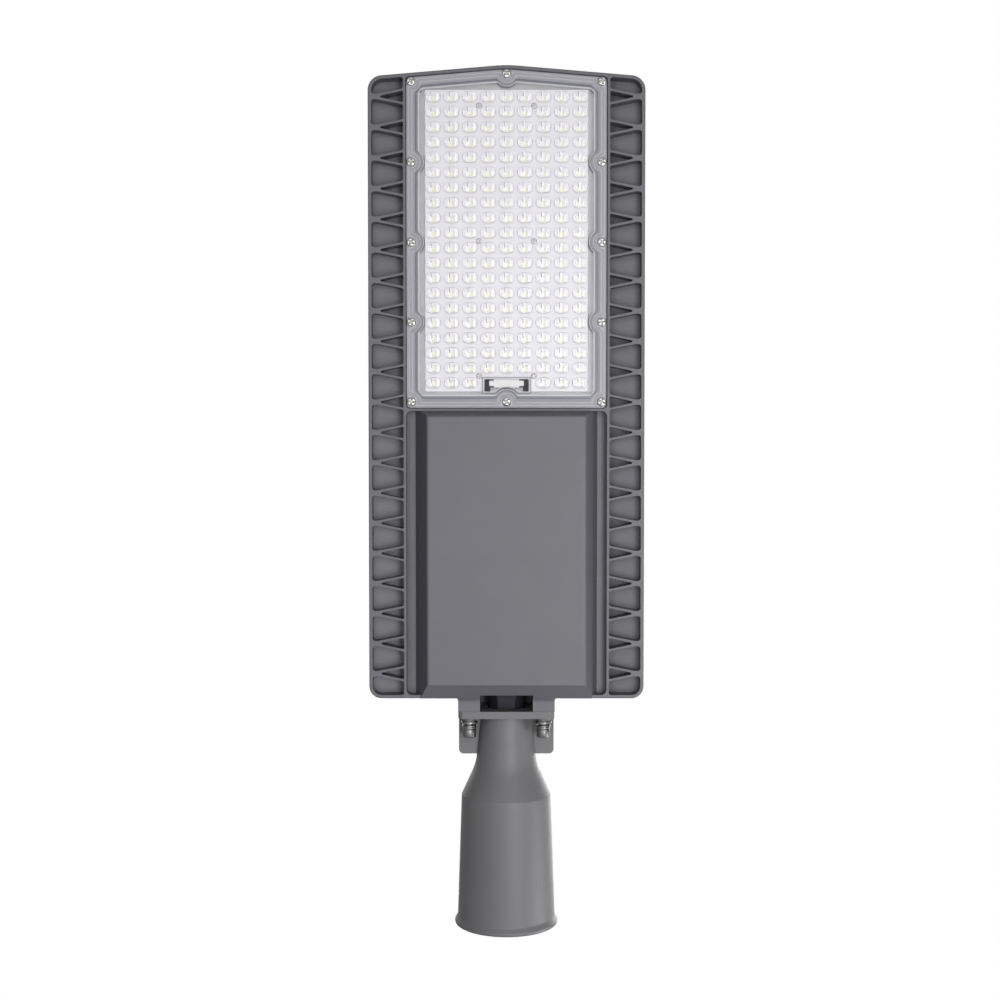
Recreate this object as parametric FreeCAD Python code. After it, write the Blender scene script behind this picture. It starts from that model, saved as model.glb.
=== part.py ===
import FreeCAD, Part
import math
import os

from FreeCAD import Vector

# LED street light head, in millimetres. The origin is the centre of the spigot's mouth, where the
# pole end goes in. Y runs along the spigot's axis towards the nose of the head, X runs across the
# head, and Z points at the sky, so the light leaves the head towards -Z.

# Housing outline, seen from below
housing_width = 200.0
housing_length = 458.0
nose_rise = 8.4
nose_corner_radius = 10.5
nose_peak_radius = 95.0
tail_corner_radius = 9.0
rim_edge_radius = 0.8
outer_wall = 2.5
inner_wall = 1.8
inner_wall_half_gap = 72.8
cross_wall_offset = 209.3

# Housing heights, measured from the open rim or from the spigot's axis
rim_below_axis = 34.0
wing_edge_height = 13.3
wing_root_height = 16.5
wing_skin = 2.8
hump_top_height = 25.0
hump_base_half_width = 72.0
hump_top_half_width = 63.0
hump_wall = 3.2
hump_front_offset = 226.0
hump_front_run = 20.0
fin_top_height = 3.0
nose_top_height = -17.5
wing_edge_radius = 4.0
wing_root_radius = 6.0
hump_edge_radius = 9.0
hump_front_radius = 14.0
hump_tail_radius = 6.0
nose_edge_radius = 5.0

# Zigzag ribs in the two side wings
rib_count = 20
rib_pitch = 21.95
first_rib_offset = 18.2
rib_thickness = 1.5
rib_root_height = 4.0
rib_root_length = 4.0
rib_base_height = 8.3
pocket_corner_radius = 1.8
triangle_tip_radius = 0.7
triangle_root_radius = 0.8

# Driver box that bulges below the rim, and the gutters on both sides of it
bulge_depth = 14.0
bulge_half_width = 57.0
bulge_base_half_width = 66.4
bulge_tail_run = 11.9
bulge_front_run = 3.6
bulge_edge_radius = 2.5
bulge_tail_radius = 1.2
gutter_depth = 10.0
gutter_corner_radius = 4.0
bay_wall = 3.0
bay_floor_radius = 3.0
bay_inner_radius = 2.0
bay_roof_radius = 4.0
bay_side_slack = 1.0
bay_front_step = 2.0

# Cooling fins over the light engine
fin_pitch = 10.8
fin_thickness = 2.2
slot_count = 12
slot_floor_above_rim = 12.0
slot_nose_margin = 14.0
slot_corner_share = 0.6

# Lens recess and light engine
lens_recess_corner_radius = 3.0
lens_gap = 0.4
lens_below_rim = 1.0
lens_flange_thickness = 3.0
lens_plateau_height = 1.5
lens_pad_gap = 0.5
gasket_thickness = 1.5
gasket_outer_margin = 4.5
gasket_inner_margin = 8.5
gasket_outer_scallop = 5.2
gasket_inner_scallop = 9.4
scallop_corner_radius = 1.5
board_seat_depth = 2.0
board_half_width = 59.0
board_length = 217.2
board_thickness = 1.6
board_nose_gap = 14.7
board_notch_half_width = 16.6
board_notch_length = 9.0
led_columns = 9
led_rows = 20
led_pitch_x = 13.25
led_pitch_y = 10.8
led_size = 3.0
led_height = 0.7
led_shift = -0.6
dome_half_length = 5.5
dome_half_width = 4.15
dome_corner_cut = 2.3
dome_height = 3.0
dome_top_scale = 0.55
hood_half_width = 17.4
hood_length = 11.2
hood_height = 2.5
hood_tail_gap = 1.4
hood_wall = 1.0
hood_corner_radius = 1.2
hood_boss_gap = 0.8

# Lens screws round the edge
lens_screw_half_span = 68.8
lens_screw_first = 4.9
lens_screw_pitch = 57.5
lens_screw_rows = 5
lens_screw_peak_gap = 3.8
lens_screw_radius = 1.75
lens_screw_length = 9.0
lens_screw_head_radius = 3.2
lens_screw_head_height = 2.0
lens_screw_hole_gap = 0.2

# Light engine screws, connector and lead
board_screw_radius = 1.25
board_screw_head_radius = 2.2
board_screw_head_height = 1.2
board_screw_length = 5.0
board_screw_half_span = 19.9
board_screw_hole_gap = 0.15
board_screw_relief = 0.6
connector_half_width = 12.6
connector_length = 6.0
connector_height = 2.5
connector_gap = 0.3
connector_corner_radius = 0.5
side_slot_half_width = 16.0
side_slot_overlap = 0.7
side_slot_tail_gap = 0.6
side_slot_corner_radius = 1.0
lead_hole_half_width = 8.0
lead_hole_length = 5.4
lead_hole_radius = 2.0
lead_hole_inset = 4.6
lead_way_height = 4.0
lead_radius = 2.4
lead_bend_radius = 9.0
lead_gap = 0.3
lead_end_depth = 1.0
lead_rise = 14.0
lead_run_out = 14.0
lead_run_in = 26.0
lead_start_x = 20.4
lead_start_height = 26.6
input_lead_radius = 1.92
input_lead_bend = 2.5
input_lead_start_height = 22.8
input_lead_end_x = 12.24

# Driver, its cover on the sky side and what they hold
door_half_width = 54.0
door_gap = 0.3
door_thickness = 3.5
door_tail_offset = 14.0
door_nose_offset = 214.0
door_corner_radius = 5.0
door_panel_margin = 13.0
door_panel_height = 1.6
door_panel_radius = 1.5
door_gasket_thickness = 1.5
door_gasket_width = 2.5
door_ledge_width = 11.0
door_ledge_thickness = 3.5
door_screw_inset = 5.4
door_screw_radius = 2.0
door_screw_head_radius = 3.5
door_screw_head_height = 2.4
door_screw_length = 10.0
door_boss_radius = 4.6
driver_half_width = 34.0
driver_length = 140.0
driver_height = 38.0
driver_floor_gap = 0.5
driver_corner_radius = 3.0
driver_tail_offset = 48.0
driver_post_height = 5.0
driver_post_radius = 4.5
driver_tab_length = 12.0
driver_tab_half_width = 8.0
driver_tab_thickness = 2.0
driver_screw_radius = 2.0
driver_screw_length = 6.0
driver_screw_head_radius = 3.5
driver_screw_head_height = 2.2
terminal_half_width = 17.0
terminal_length = 15.0
terminal_height = 17.0
terminal_tail_offset = 20.0
terminal_corner_radius = 1.0
terminal_step_height = 10.2
terminal_ridge_inset = 1.5
terminal_ridge_step = 4.0
terminal_well_radius = 1.3
terminal_well_floor = 6.0
terminal_well_inset = 2.0
terminal_lead_height = 7.0

# Surge protector and earth screw beside the terminal block
surge_half_width = 13.0
surge_length = 27.0
surge_height = 22.0
surge_tail_offset = 18.0
surge_centre_x = -37.0
surge_corner_radius = 2.0
earth_screw_x = 34.0
earth_screw_offset = 30.0
earth_screw_radius = 2.0
earth_screw_length = 6.0
earth_screw_head_radius = 3.5
earth_screw_head_height = 2.2
earth_boss_radius = 5.0
earth_boss_height = 6.0

# Neck between housing and spigot
neck_half_width = 35.5
neck_length = 11.4
neck_bottom_height = -25.0
neck_top_height = 22.0
neck_top_radius = 3.0
neck_side_fillet = 3.5
neck_under_fillet = 4.5
window_half_width = 19.4
window_into_tail = 2.7
window_roof_height = 15.0
neck_end_wall = 3.5

# Spigot casting
flange_thickness = 5.4
flange_half_height = 25.0
flange_corner_radius = 4.0
spigot_length = 163.6
socket_radius = 30.75
socket_depth = 92.0
cup_length = 97.6
cup_mouth_radius = 36.5
cup_end_radius = 33.5
lip_radius = 38.6
lip_height = 2.6
lip_blend = 3.4
lip_edge_radius = 1.4
lip_top_radius = 1.0
lip_root_radius = 3.0
cup_edge_radius = 1.5
socket_step = 3.0
bore_taper_length = 10.0
cone_length = 23.0
cone_end_radius = 22.9
neck_tube_radius = 18.8
neck_tube_blend = 40.0
cone_wall = 4.5
cone_root_wall = 1.0
tube_bore_radius = 15.5
web_half_thickness = 2.5
web_length = 30.0
web_corner_radius = 3.5

# Flange bolts
flange_bolt_half_span_x = 27.5
flange_bolt_half_span_z = 14.0
flange_bolt_radius = 3.0
flange_bolt_length = 25.0
flange_bolt_hole_gap = 0.3
flange_bolt_head_radius = 5.0
flange_bolt_head_height = 6.0
flange_bolt_socket_width = 5.0
flange_bolt_socket_depth = 3.0
flange_pad_radius = 4.6
flange_pad_height = 3.3
flat_washer_radius = 6.0
flat_washer_thickness = 1.8
spring_washer_radius = 5.2
spring_washer_height = 4.1
spring_washer_split = 1.0
spring_washer_lean = 1.6

# Pole clamp screws on the sky side of the spigot
clamp_screw_offsets = (22.0, 62.0)
clamp_screw_radius = 4.0
clamp_boss_radius = 9.0
clamp_boss_height = 41.5
clamp_head_gap = 2.5
clamp_head_width = 13.0
clamp_head_height = 5.3
clamp_tip_gap = 0.75

# Cable gland in the neck window
gland_thread_radius = 10.0
gland_hex_width = 24.0
gland_hex_thickness = 7.0
gland_nut_thickness = 5.0
gland_nut_width = 24.0
gland_inner_length = 12.0
gland_stem_radius = 8.6
gland_dome_length = 17.0
gland_dome_width = 22.0
gland_dome_mouth_radius = 5.5
gland_seal_radius = 7.0
gland_cable_radius = 4.0
gland_stem_inset = 6.0
gland_dome_run = 8.0
gland_dome_bore_floor = 4.0
gland_dome_lip = 2.5
gland_dome_shoulder = 0.3

# Running gap between a plain screw shank and the hole that is threaded on the real part, the gap
# of a clearance hole, and the extra depth of a blind hole past the screw's tip
thread_gap = 0.05
clearance = 0.2
tip_gap = 0.5

# Pan heads: the crown's share of the head's radius, and where it starts
pan_crown_share = 0.72
pan_rim_share = 0.5

# Places worked out from the sizes above
tail_y = spigot_length + neck_length
nose_y = tail_y + housing_length
rim_z = -rim_below_axis
half_width = housing_width / 2
nose_slope = nose_rise / half_width
cross_wall_y = tail_y + cross_wall_offset
lens_tail_y = cross_wall_y + inner_wall
hump_front_y = tail_y + hump_front_offset
wing_edge_z = rim_z + wing_edge_height
wing_root_z = rim_z + wing_root_height
gutter_z = rim_z + gutter_depth
bulge_z = rim_z - bulge_depth
slot_floor_z = rim_z + slot_floor_above_rim
lens_face_z = rim_z + lens_below_rim
lens_flange_back_z = lens_face_z + lens_flange_thickness
ledge_z = lens_flange_back_z + gasket_thickness
board_seat_z = ledge_z + board_seat_depth
board_face_z = board_seat_z - board_thickness
led_face_z = board_face_z - led_height
lens_pad_z = led_face_z - lens_pad_gap
plateau_z = lens_face_z - lens_plateau_height
board_nose_y = nose_y - outer_wall - board_nose_gap
board_tail_y = board_nose_y - board_length
lead_hole_y = board_tail_y + lead_hole_inset
lead_way_top = slot_floor_z + lead_way_height
bay_floor_z = bulge_z + bay_wall
door_top_z = hump_top_height
door_seat_z = door_top_z - door_thickness
door_ledge_z = door_seat_z - door_gasket_thickness
bay_roof_z = door_ledge_z - door_ledge_thickness
door_tail_y = tail_y + door_tail_offset
door_nose_y = tail_y + door_nose_offset
window_end_y = tail_y + window_into_tail
bay_tail_y = window_end_y + neck_end_wall
flange_front_y = spigot_length - flange_thickness
FAR = 400.0

PLANES = {
    "xy": lambda u, v, w: Vector(u, v, w),
    "xz": lambda u, v, w: Vector(u, w, v),
    "yz": lambda u, v, w: Vector(w, u, v),
}
NORMALS = {"xy": Vector(0, 0, 1), "xz": Vector(0, 1, 0), "yz": Vector(1, 0, 0)}


def rounded_face(points, radii=0.0, plane="xy", level=0.0):
    """A flat face whose corners are rounded; radii is one radius or one for each corner."""
    place = PLANES[plane]
    count = len(points)
    if not isinstance(radii, (list, tuple)):
        radii = [radii] * count
    starts, ends, arcs = [], [], []
    for i, (u, v) in enumerate(points):
        corner = Vector(u, v, 0)
        to_last = (Vector(*points[i - 1], 0) - corner).normalize()
        to_next = (Vector(*points[(i + 1) % count], 0) - corner).normalize()
        half_angle = to_last.getAngle(to_next) / 2
        radius = radii[i]
        reach = radius / math.tan(half_angle) if radius else 0.0
        starts.append(corner + to_last * reach)
        ends.append(corner + to_next * reach)
        if radius:
            inward = (to_last + to_next).normalize()
            arcs.append(corner + inward * (radius / math.sin(half_angle) - radius))
        else:
            arcs.append(None)
    starts, ends = ([place(p.x, p.y, level) for p in row] for row in (starts, ends))
    edges = []
    for i, middle in enumerate(arcs):
        if middle is not None:
            edges.append(Part.Arc(starts[i], place(middle.x, middle.y, level), ends[i]).toShape())
        following = starts[(i + 1) % count]
        if ends[i].distanceToPoint(following) > 1e-6:
            edges.append(Part.LineSegment(ends[i], following).toShape())
    return Part.Face(Part.Wire(edges))


def prism(points, radii, plane, start, end):
    """A rounded outline extruded along the plane's normal from start to end."""
    return rounded_face(points, radii, plane, start).extrude(NORMALS[plane] * (end - start))


def rectangle(half_x, start_y, end_y):
    """Corners of a rectangle that is centred across the head."""
    return [(-half_x, start_y), (half_x, start_y), (half_x, end_y), (-half_x, end_y)]


def mirrored(points):
    """The outline of the other half, in the same turning direction."""
    return [(-u, v) for u, v in reversed(points)]


def rod(radius, start, end, axis="z", x=0.0, y=0.0, z=0.0):
    """A cylinder along one axis; start and end replace that axis's own coordinate."""
    direction = {"x": Vector(1, 0, 0), "y": Vector(0, 1, 0), "z": Vector(0, 0, 1)}[axis]
    base = Vector(x, y, z) + direction * start
    return Part.makeCylinder(radius, end - start, base, direction)


def hexagon(width, start, end, axis="z", x=0.0, y=0.0, z=0.0):
    """A hexagonal bar of that width across flats."""
    radius = width / math.sqrt(3)
    turns = [math.radians(60 * k) for k in range(6)]
    flat = [(radius * math.cos(t), radius * math.sin(t)) for t in turns]
    if axis == "y":
        return prism([(x + u, z + v) for u, v in flat], 0.0, "xz", start, end)
    return prism([(x + u, y + v) for u, v in flat], 0.0, "xy", start, end)


def frustum(base, top):
    """A solid between two outlines of equal count, each a list of vectors."""
    count = len(base)
    walls = []
    for i in range(count):
        k = (i + 1) % count
        walls.append(Part.Face(Part.makePolygon([base[i], base[k], top[k], top[i], base[i]])))
    caps = [Part.Face(Part.makePolygon(ring + [ring[0]])) for ring in (base, top)]
    solid = Part.Solid(Part.Shell(walls + caps))
    if solid.Volume < 0:
        solid.reverse()
    return solid


def nose_line(margin, x):
    """Y of the nose wall, moved in by margin, at a distance x from the middle."""
    return nose_y - margin * math.hypot(1, nose_slope) - nose_slope * abs(x)


def housing_plan(margin):
    """The housing's outline moved in by margin, and the radius of each corner."""
    half = half_width - margin
    corner_y = nose_line(margin, half)
    points = [(-half, tail_y + margin), (half, tail_y + margin), (half, corner_y),
              (0.0, nose_line(margin, 0.0)), (-half, corner_y)]
    tail = tail_corner_radius - margin
    nose = nose_corner_radius - margin
    return points, [tail, tail, nose, nose_peak_radius, nose]


def lens_plan(margin, radius):
    """The outline of the lens recess moved in by margin."""
    half = inner_wall_half_gap - margin
    corner_y = nose_line(outer_wall + margin, half)
    points = [(-half, lens_tail_y + margin), (half, lens_tail_y + margin), (half, corner_y),
              (0.0, nose_line(outer_wall + margin, 0.0)), (-half, corner_y)]
    return points, [radius, radius, radius, nose_peak_radius, radius]


def lens_screw_places():
    """Centres of the lens screws: two columns, one at the peak and one at the tail."""
    places = []
    for row in range(lens_screw_rows):
        y = lens_tail_y + lens_screw_first + row * lens_screw_pitch
        places += [(-lens_screw_half_span, y), (lens_screw_half_span, y)]
    places.append((0.0, nose_line(outer_wall, 0.0) - lens_screw_peak_gap))
    places.append((0.0, lens_tail_y + lens_screw_first))
    return places


def scalloped(margin, scallop, bottom, top):
    """The lens outline moved in by margin, with a round bite taken at every lens screw."""
    points, radii = lens_plan(margin, scallop_corner_radius)
    body = prism(points, radii, "xy", bottom, top)
    bites = [rod(scallop, bottom - 1, top + 1, x=x, y=y) for x, y in lens_screw_places()]
    return body.cut(Part.makeCompound(bites))


def connector_slots():
    """The two slots beside the board connector, through the seat into the driver bay."""
    near = connector_half_width - side_slot_overlap
    far = side_slot_half_width
    start = board_tail_y - side_slot_tail_gap
    end = board_tail_y + board_notch_length
    outline = [(near, start), (far, start), (far, end), (near, end)]
    return [prism(points, side_slot_corner_radius, "xy", board_seat_z - 1, lead_way_top)
            for points in (outline, mirrored(outline))]


def wing_pockets():
    """The blind pockets between the zigzag ribs of the right wing."""
    near = inner_wall_half_gap + inner_wall
    far = half_width - outer_wall
    tip = far - rib_root_length
    base_half = rib_base_height / 2
    slope = (base_half + rib_thickness - rib_root_height / 2) / (far - rib_root_length - near)
    outlines = []
    centres = [tail_y + first_rib_offset + k * rib_pitch for k in range(rib_count)]
    for y in centres:
        outlines.append(([(near, y - base_half), (near, y + base_half), (tip, y)],
                         [triangle_root_radius, triangle_root_radius, triangle_tip_radius]))
    shoulder = base_half + rib_thickness
    root = rib_root_height / 2
    corner = pocket_corner_radius
    for low, high in zip(centres[:-1], centres[1:]):
        outlines.append(([(near, low + shoulder), (near, high - shoulder), (tip, high - root),
                          (far, high - root), (far, low + root), (tip, low + root)],
                         [corner, corner, 0.0, corner, corner, 0.0]))
    tail_end = tail_y + outer_wall
    outlines.append(([(near, tail_end), (near, centres[0] - shoulder), (tip, centres[0] - root),
                      (far, centres[0] - root), (far, tail_end)],
                     [corner, corner, 0.0, corner, tail_corner_radius - outer_wall]))
    nose_near, nose_far = nose_line(outer_wall, near), nose_line(outer_wall, far)
    outlines.append(([(near, centres[-1] + shoulder), (near, nose_near), (far, nose_far),
                      (far, centres[-1] + root), (tip, centres[-1] + root)],
                     [corner, corner, nose_corner_radius - outer_wall, corner, 0.0]))
    floor_slope = (wing_root_height - wing_edge_height) / (half_width - hump_base_half_width)
    edge_ceiling = wing_edge_z - wing_skin
    near_ceiling = edge_ceiling + floor_slope * (half_width - near)
    void = prism([(near - 1, rim_z - 1), (half_width, rim_z - 1), (half_width, edge_ceiling),
                  (near - 1, near_ceiling)], 0.0, "xz", tail_y, nose_y)
    blocks = [prism(points, radii, "xy", rim_z - 1, 0.0) for points, radii in outlines]
    return void.common(Part.makeCompound(blocks))


def housing_envelope():
    """The solid block of the casting: outline from below, cross-section and side view combined."""
    points, radii = housing_plan(0.0)
    plan = prism(points, radii, "xy", rim_z, FAR)
    right = [(half_width, rim_z), (half_width, wing_edge_z), (hump_base_half_width, wing_root_z),
             (hump_top_half_width, hump_top_height)]
    rounds = [0, wing_edge_radius, wing_root_radius, hump_edge_radius]
    section = prism(right + mirrored(right), rounds + rounds[::-1], "xz", 0.0, FAR * 2)
    side = prism([(tail_y, rim_z), (nose_y, rim_z), (nose_y, nose_top_height),
                  (hump_front_y + hump_front_run, fin_top_height),
                  (hump_front_y, hump_top_height), (tail_y, hump_top_height)],
                 [0, 0, nose_edge_radius, hump_front_radius, hump_front_radius, hump_tail_radius],
                 "yz", -FAR, FAR)
    block = plan.common(section).common(side)
    rim_edges = [edge for edge in block.Edges if edge.BoundBox.ZMax < rim_z + 0.01]
    return block.makeFillet(rim_edge_radius, rim_edges)


def driver_bulge():
    """The driver box below the rim, with sloping sides and a sloping tail."""
    right = [(bulge_base_half_width, gutter_z), (bulge_half_width, bulge_z)]
    wide = prism([(-u, v) for u, v in right] + right[::-1],
                 [0, bulge_edge_radius, bulge_edge_radius, 0], "xz", 0.0, FAR * 2)
    long = prism([(tail_y, gutter_z), (tail_y, rim_z), (tail_y + bulge_tail_run, bulge_z),
                  (cross_wall_y - bulge_front_run, bulge_z), (cross_wall_y, rim_z),
                  (cross_wall_y, gutter_z)],
                 [0, 0, bulge_tail_radius, bulge_edge_radius, 0, 0], "yz", -FAR, FAR)
    return wide.common(long)


def driver_bay():
    """The hollow for the driver, open to the sky through the ledge under the cover."""
    side_run = (bulge_base_half_width - bulge_half_width) / (gutter_z - bulge_z)
    shoulder_z = gutter_z + bay_wall
    floor_half = bulge_half_width - bay_wall + side_run * bay_wall
    shoulder_half = floor_half + side_run * (shoulder_z - bay_floor_z)
    lean = (hump_base_half_width - hump_top_half_width) / (hump_top_height - wing_root_z)
    low_half = hump_base_half_width - hump_wall - bay_side_slack
    right = [(floor_half, bay_floor_z), (shoulder_half, shoulder_z), (low_half, shoulder_z),
             (low_half - lean * (bay_roof_z - shoulder_z), bay_roof_z)]
    rounds = [bay_floor_radius, 0, bay_inner_radius, bay_roof_radius]
    wide = prism(right + mirrored(right), rounds + rounds[::-1], "xz", 0.0, FAR * 2)
    tail_floor = tail_y + bulge_tail_run + bay_wall
    front_low = cross_wall_y - bay_wall
    front_high = hump_front_y + hump_front_run / 2 - bay_wall
    step_z = slot_floor_z + bay_front_step
    soft = bay_inner_radius
    long = prism([(tail_floor, bay_floor_z), (front_low - bulge_front_run, bay_floor_z),
                  (front_low, rim_z), (front_low, step_z), (front_high, step_z),
                  (front_high - hump_front_run / 2, bay_roof_z), (bay_tail_y, bay_roof_z),
                  (bay_tail_y, rim_z + bay_wall)],
                 [soft, soft, 0, soft, soft, soft, soft, soft], "yz", -FAR, FAR)
    return wide.common(long)


def door_outline(margin):
    """Outline of the driver cover moved in by margin, and its corner radius."""
    points = rectangle(door_half_width - margin, door_tail_y + margin, door_nose_y - margin)
    return points, max(door_corner_radius - margin, 1.0)


def door_screw_places():
    """Centres of the cover screws: corners and the middle of the long sides."""
    half = door_half_width - door_screw_inset
    ends = (door_tail_y + door_screw_inset, door_nose_y - door_screw_inset)
    return [(side * half, y) for side in (-1, 1) for y in (ends[0], sum(ends) / 2, ends[1])]


def driver_screw_places():
    """Centres of the two screws that hold the driver's end tabs."""
    tail = tail_y + driver_tail_offset
    return [(0.0, tail - driver_tab_length / 2), (0.0, tail + driver_length + driver_tab_length / 2)]


def earth_screw_place():
    """Centre of the earth screw, across and along."""
    return earth_screw_x, tail_y + earth_screw_offset


def neck_block():
    """The two lugs that carry the spigot, faired into the tail wall."""
    deep = tail_y + outer_wall
    wide_half = neck_half_width + 2 * neck_side_fillet
    right = [(neck_half_width, spigot_length), (neck_half_width, tail_y), (wide_half, tail_y),
             (wide_half, deep)]
    plan = prism(right + mirrored(right), [0, neck_side_fillet, 0, 0, 0, 0, neck_side_fillet, 0],
                 "xy", rim_z, neck_top_height)
    side = prism([(spigot_length, neck_bottom_height), (tail_y, neck_bottom_height), (tail_y, rim_z),
                  (deep, rim_z), (deep, neck_top_height), (spigot_length, neck_top_height)],
                 [0, neck_under_fillet, 0, 0, 0, neck_top_radius], "yz", -FAR, FAR)
    return plan.common(side)


def fin_slots():
    """Slots between the cooling fins, closed short of the nose."""
    slots = []
    start = hump_front_y + hump_front_run
    half = (fin_pitch - fin_thickness) / 2
    for k in range(slot_count):
        x = (k - (slot_count - 1) / 2) * fin_pitch
        end = nose_line(slot_nose_margin, x)
        points = [(x - half, start), (x + half, start), (x + half, end), (x - half, end)]
        slots.append(prism(points, half * slot_corner_share, "xy", slot_floor_z, hump_top_height + 1))
    return slots


def flange_bolt_places():
    """Centres of the four flange bolts, across and up."""
    return [(sx * flange_bolt_half_span_x, sz * flange_bolt_half_span_z)
            for sx in (-1, 1) for sz in (-1, 1)]


def make_housing():
    pockets = wing_pockets()
    other_pockets = pockets.mirror(Vector(0, 0, 0), Vector(1, 0, 0))
    gutter = prism(rectangle(inner_wall_half_gap, tail_y + outer_wall, cross_wall_y),
                   gutter_corner_radius, "xy", rim_z - 1, gutter_z)
    points, radii = lens_plan(0.0, lens_recess_corner_radius)
    recess = prism(points, radii, "xy", rim_z - 1, ledge_z)
    seat = scalloped(gasket_inner_margin, gasket_inner_scallop, ledge_z - 1, board_seat_z)
    body = housing_envelope().cut(Part.makeCompound([pockets, other_pockets, gutter]))
    body = body.fuse([driver_bulge(), neck_block()])
    body = body.cut(Part.makeCompound([recess])).cut(seat)
    body = body.cut(driver_bay())
    points, radius = door_outline(0.0)
    rebate = prism(points, radius, "xy", door_ledge_z, hump_top_height + 1)
    points, radius = door_outline(door_ledge_width)
    mouth = prism(points, radius, "xy", bay_roof_z - 1, door_ledge_z + 1)
    bosses = [rod(door_boss_radius, bay_roof_z - 5, door_ledge_z, x=x, y=y)
              for x, y in door_screw_places()]
    posts = [rod(driver_post_radius, bay_floor_z - 1, bay_floor_z + driver_post_height, x=x, y=y)
             for x, y in driver_screw_places()]
    x, y = earth_screw_place()
    posts.append(rod(earth_boss_radius, bay_floor_z - 1, bay_floor_z + earth_boss_height, x=x, y=y))
    body = body.fuse(bosses + posts).cut(Part.makeCompound([rebate])).cut(mouth)
    window = prism(rectangle(window_half_width, spigot_length - 1, window_end_y), 0.0, "xy",
                   bulge_z - 1, window_roof_height)
    lead_hole = prism(rectangle(lead_hole_half_width, lead_hole_y - lead_hole_length / 2,
                                lead_hole_y + lead_hole_length / 2),
                      lead_hole_radius, "xy", board_seat_z - 1, lead_way_top)
    holes = fin_slots() + connector_slots() + [window, lead_hole]
    holes.append(rod(gland_thread_radius + thread_gap, window_end_y - 1, bay_tail_y + 1, "y"))
    for x, z in flange_bolt_places():
        holes.append(rod(flange_bolt_radius + thread_gap, spigot_length - 1, tail_y + 3, "y",
                         x=x, z=z))
    for x, y in lens_screw_places():
        holes.append(rod(lens_screw_radius + thread_gap, ledge_z - 1,
                         lens_face_z + lens_screw_length + 1, x=x, y=y))
    for x, y in board_screw_places():
        holes.append(rod(board_screw_radius + thread_gap, board_seat_z - 1,
                         board_face_z + board_screw_length + tip_gap, x=x, y=y))
    for x, y in door_screw_places():
        holes.append(rod(door_screw_radius + thread_gap,
                         door_seat_z + door_thickness - door_screw_head_height
                         - door_screw_length - tip_gap, door_ledge_z + 1, x=x, y=y))
    for x, y in driver_screw_places():
        holes.append(rod(driver_screw_radius + thread_gap, bay_floor_z,
                         bay_floor_z + driver_post_height + 1, x=x, y=y))
    x, y = earth_screw_place()
    holes.append(rod(earth_screw_radius + thread_gap, bay_floor_z - tip_gap,
                     bay_floor_z + earth_boss_height + 1, x=x, y=y))
    return body.cut(Part.makeCompound(holes)).removeSplitter()


def led_places():
    """Centres of the lenses over the LEDs; three in the tail row give way to the connector."""
    middle_y = (board_tail_y + board_nose_y) / 2
    places = []
    for row in range(led_rows):
        for column in range(led_columns):
            offset = column - (led_columns - 1) / 2
            if row == 0 and abs(offset) < 2:
                continue
            places.append((offset * led_pitch_x,
                           middle_y + (row - (led_rows - 1) / 2) * led_pitch_y))
    return places


def board_screw_places():
    """Six board screws, each midway between four LEDs."""
    middle_y = (board_tail_y + board_nose_y) / 2
    reach = (led_rows / 2 - 1) * led_pitch_y
    return [(sx * board_screw_half_span, middle_y + sy * reach)
            for sx in (-1, 1) for sy in (-1, 0, 1)]


def lens_dome(x, y):
    """One lens: a long octagon that narrows towards its top."""
    long, wide, cut = dome_half_length, dome_half_width, dome_corner_cut
    ring = [(long, wide - cut), (long - cut, wide), (cut - long, wide), (-long, wide - cut),
            (-long, cut - wide), (cut - long, -wide), (long - cut, -wide), (long, cut - wide)]
    base = [Vector(x + u, y + v, plateau_z) for u, v in ring]
    top = [Vector(x + u * dome_top_scale, y + v * dome_top_scale, plateau_z - dome_height)
           for u, v in ring]
    return frustum(base, top)


def connector_hood():
    """The raised cap over the board connector, arched round the tail screw's boss."""
    start = board_tail_y - hood_tail_gap
    block = prism(rectangle(hood_half_width, start, start + hood_length), hood_corner_radius, "xy",
                  plateau_z - hood_height, plateau_z)
    x, y = lens_screw_places()[-1]
    boss = rod(gasket_inner_scallop + hood_boss_gap, plateau_z - hood_height - 1, plateau_z,
               x=x, y=y)
    return block.cut(boss)


def hood_hollow():
    """The space behind the cap, one wall smaller all round, arches included."""
    start = board_tail_y - hood_tail_gap + hood_wall
    block = prism(rectangle(hood_half_width - hood_wall, start, start + hood_length - 2 * hood_wall),
                  hood_corner_radius, "xy", plateau_z - hood_height + hood_wall, lens_pad_z + 1)
    x, y = lens_screw_places()[-1]
    return block.cut(rod(gasket_inner_scallop + hood_boss_gap + hood_wall, bulge_z, 0.0, x=x, y=y))


def make_lens_cover():
    points, radii = lens_plan(lens_gap, lens_recess_corner_radius - lens_gap)
    flange = prism(points, radii, "xy", lens_face_z, lens_flange_back_z)
    pad = scalloped(gasket_inner_margin + lens_gap, gasket_inner_scallop + lens_gap,
                    lens_flange_back_z, lens_pad_z)
    plateau = scalloped(gasket_inner_margin, gasket_inner_scallop, plateau_z, lens_face_z)
    holes = [rod(lens_screw_radius + lens_screw_hole_gap, plateau_z - 1, lens_flange_back_z + 1, x=x, y=y)
             for x, y in lens_screw_places()]
    heads = [rod(board_screw_head_radius + board_screw_relief,
                 board_face_z - board_screw_head_height - board_screw_relief, lens_pad_z + 1,
                 x=x, y=y) for x, y in board_screw_places()]
    body = flange.fuse([pad, plateau, connector_hood()]).removeSplitter()
    body = body.cut(Part.makeCompound(holes + heads + [hood_hollow()]))
    return body.multiFuse([lens_dome(x, y) for x, y in led_places()])


def make_lens_gasket():
    outer = scalloped(gasket_outer_margin, gasket_outer_scallop, lens_flange_back_z, ledge_z)
    inner = scalloped(gasket_inner_margin, gasket_inner_scallop, lens_flange_back_z - 1, ledge_z + 1)
    return outer.cut(inner)


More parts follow.
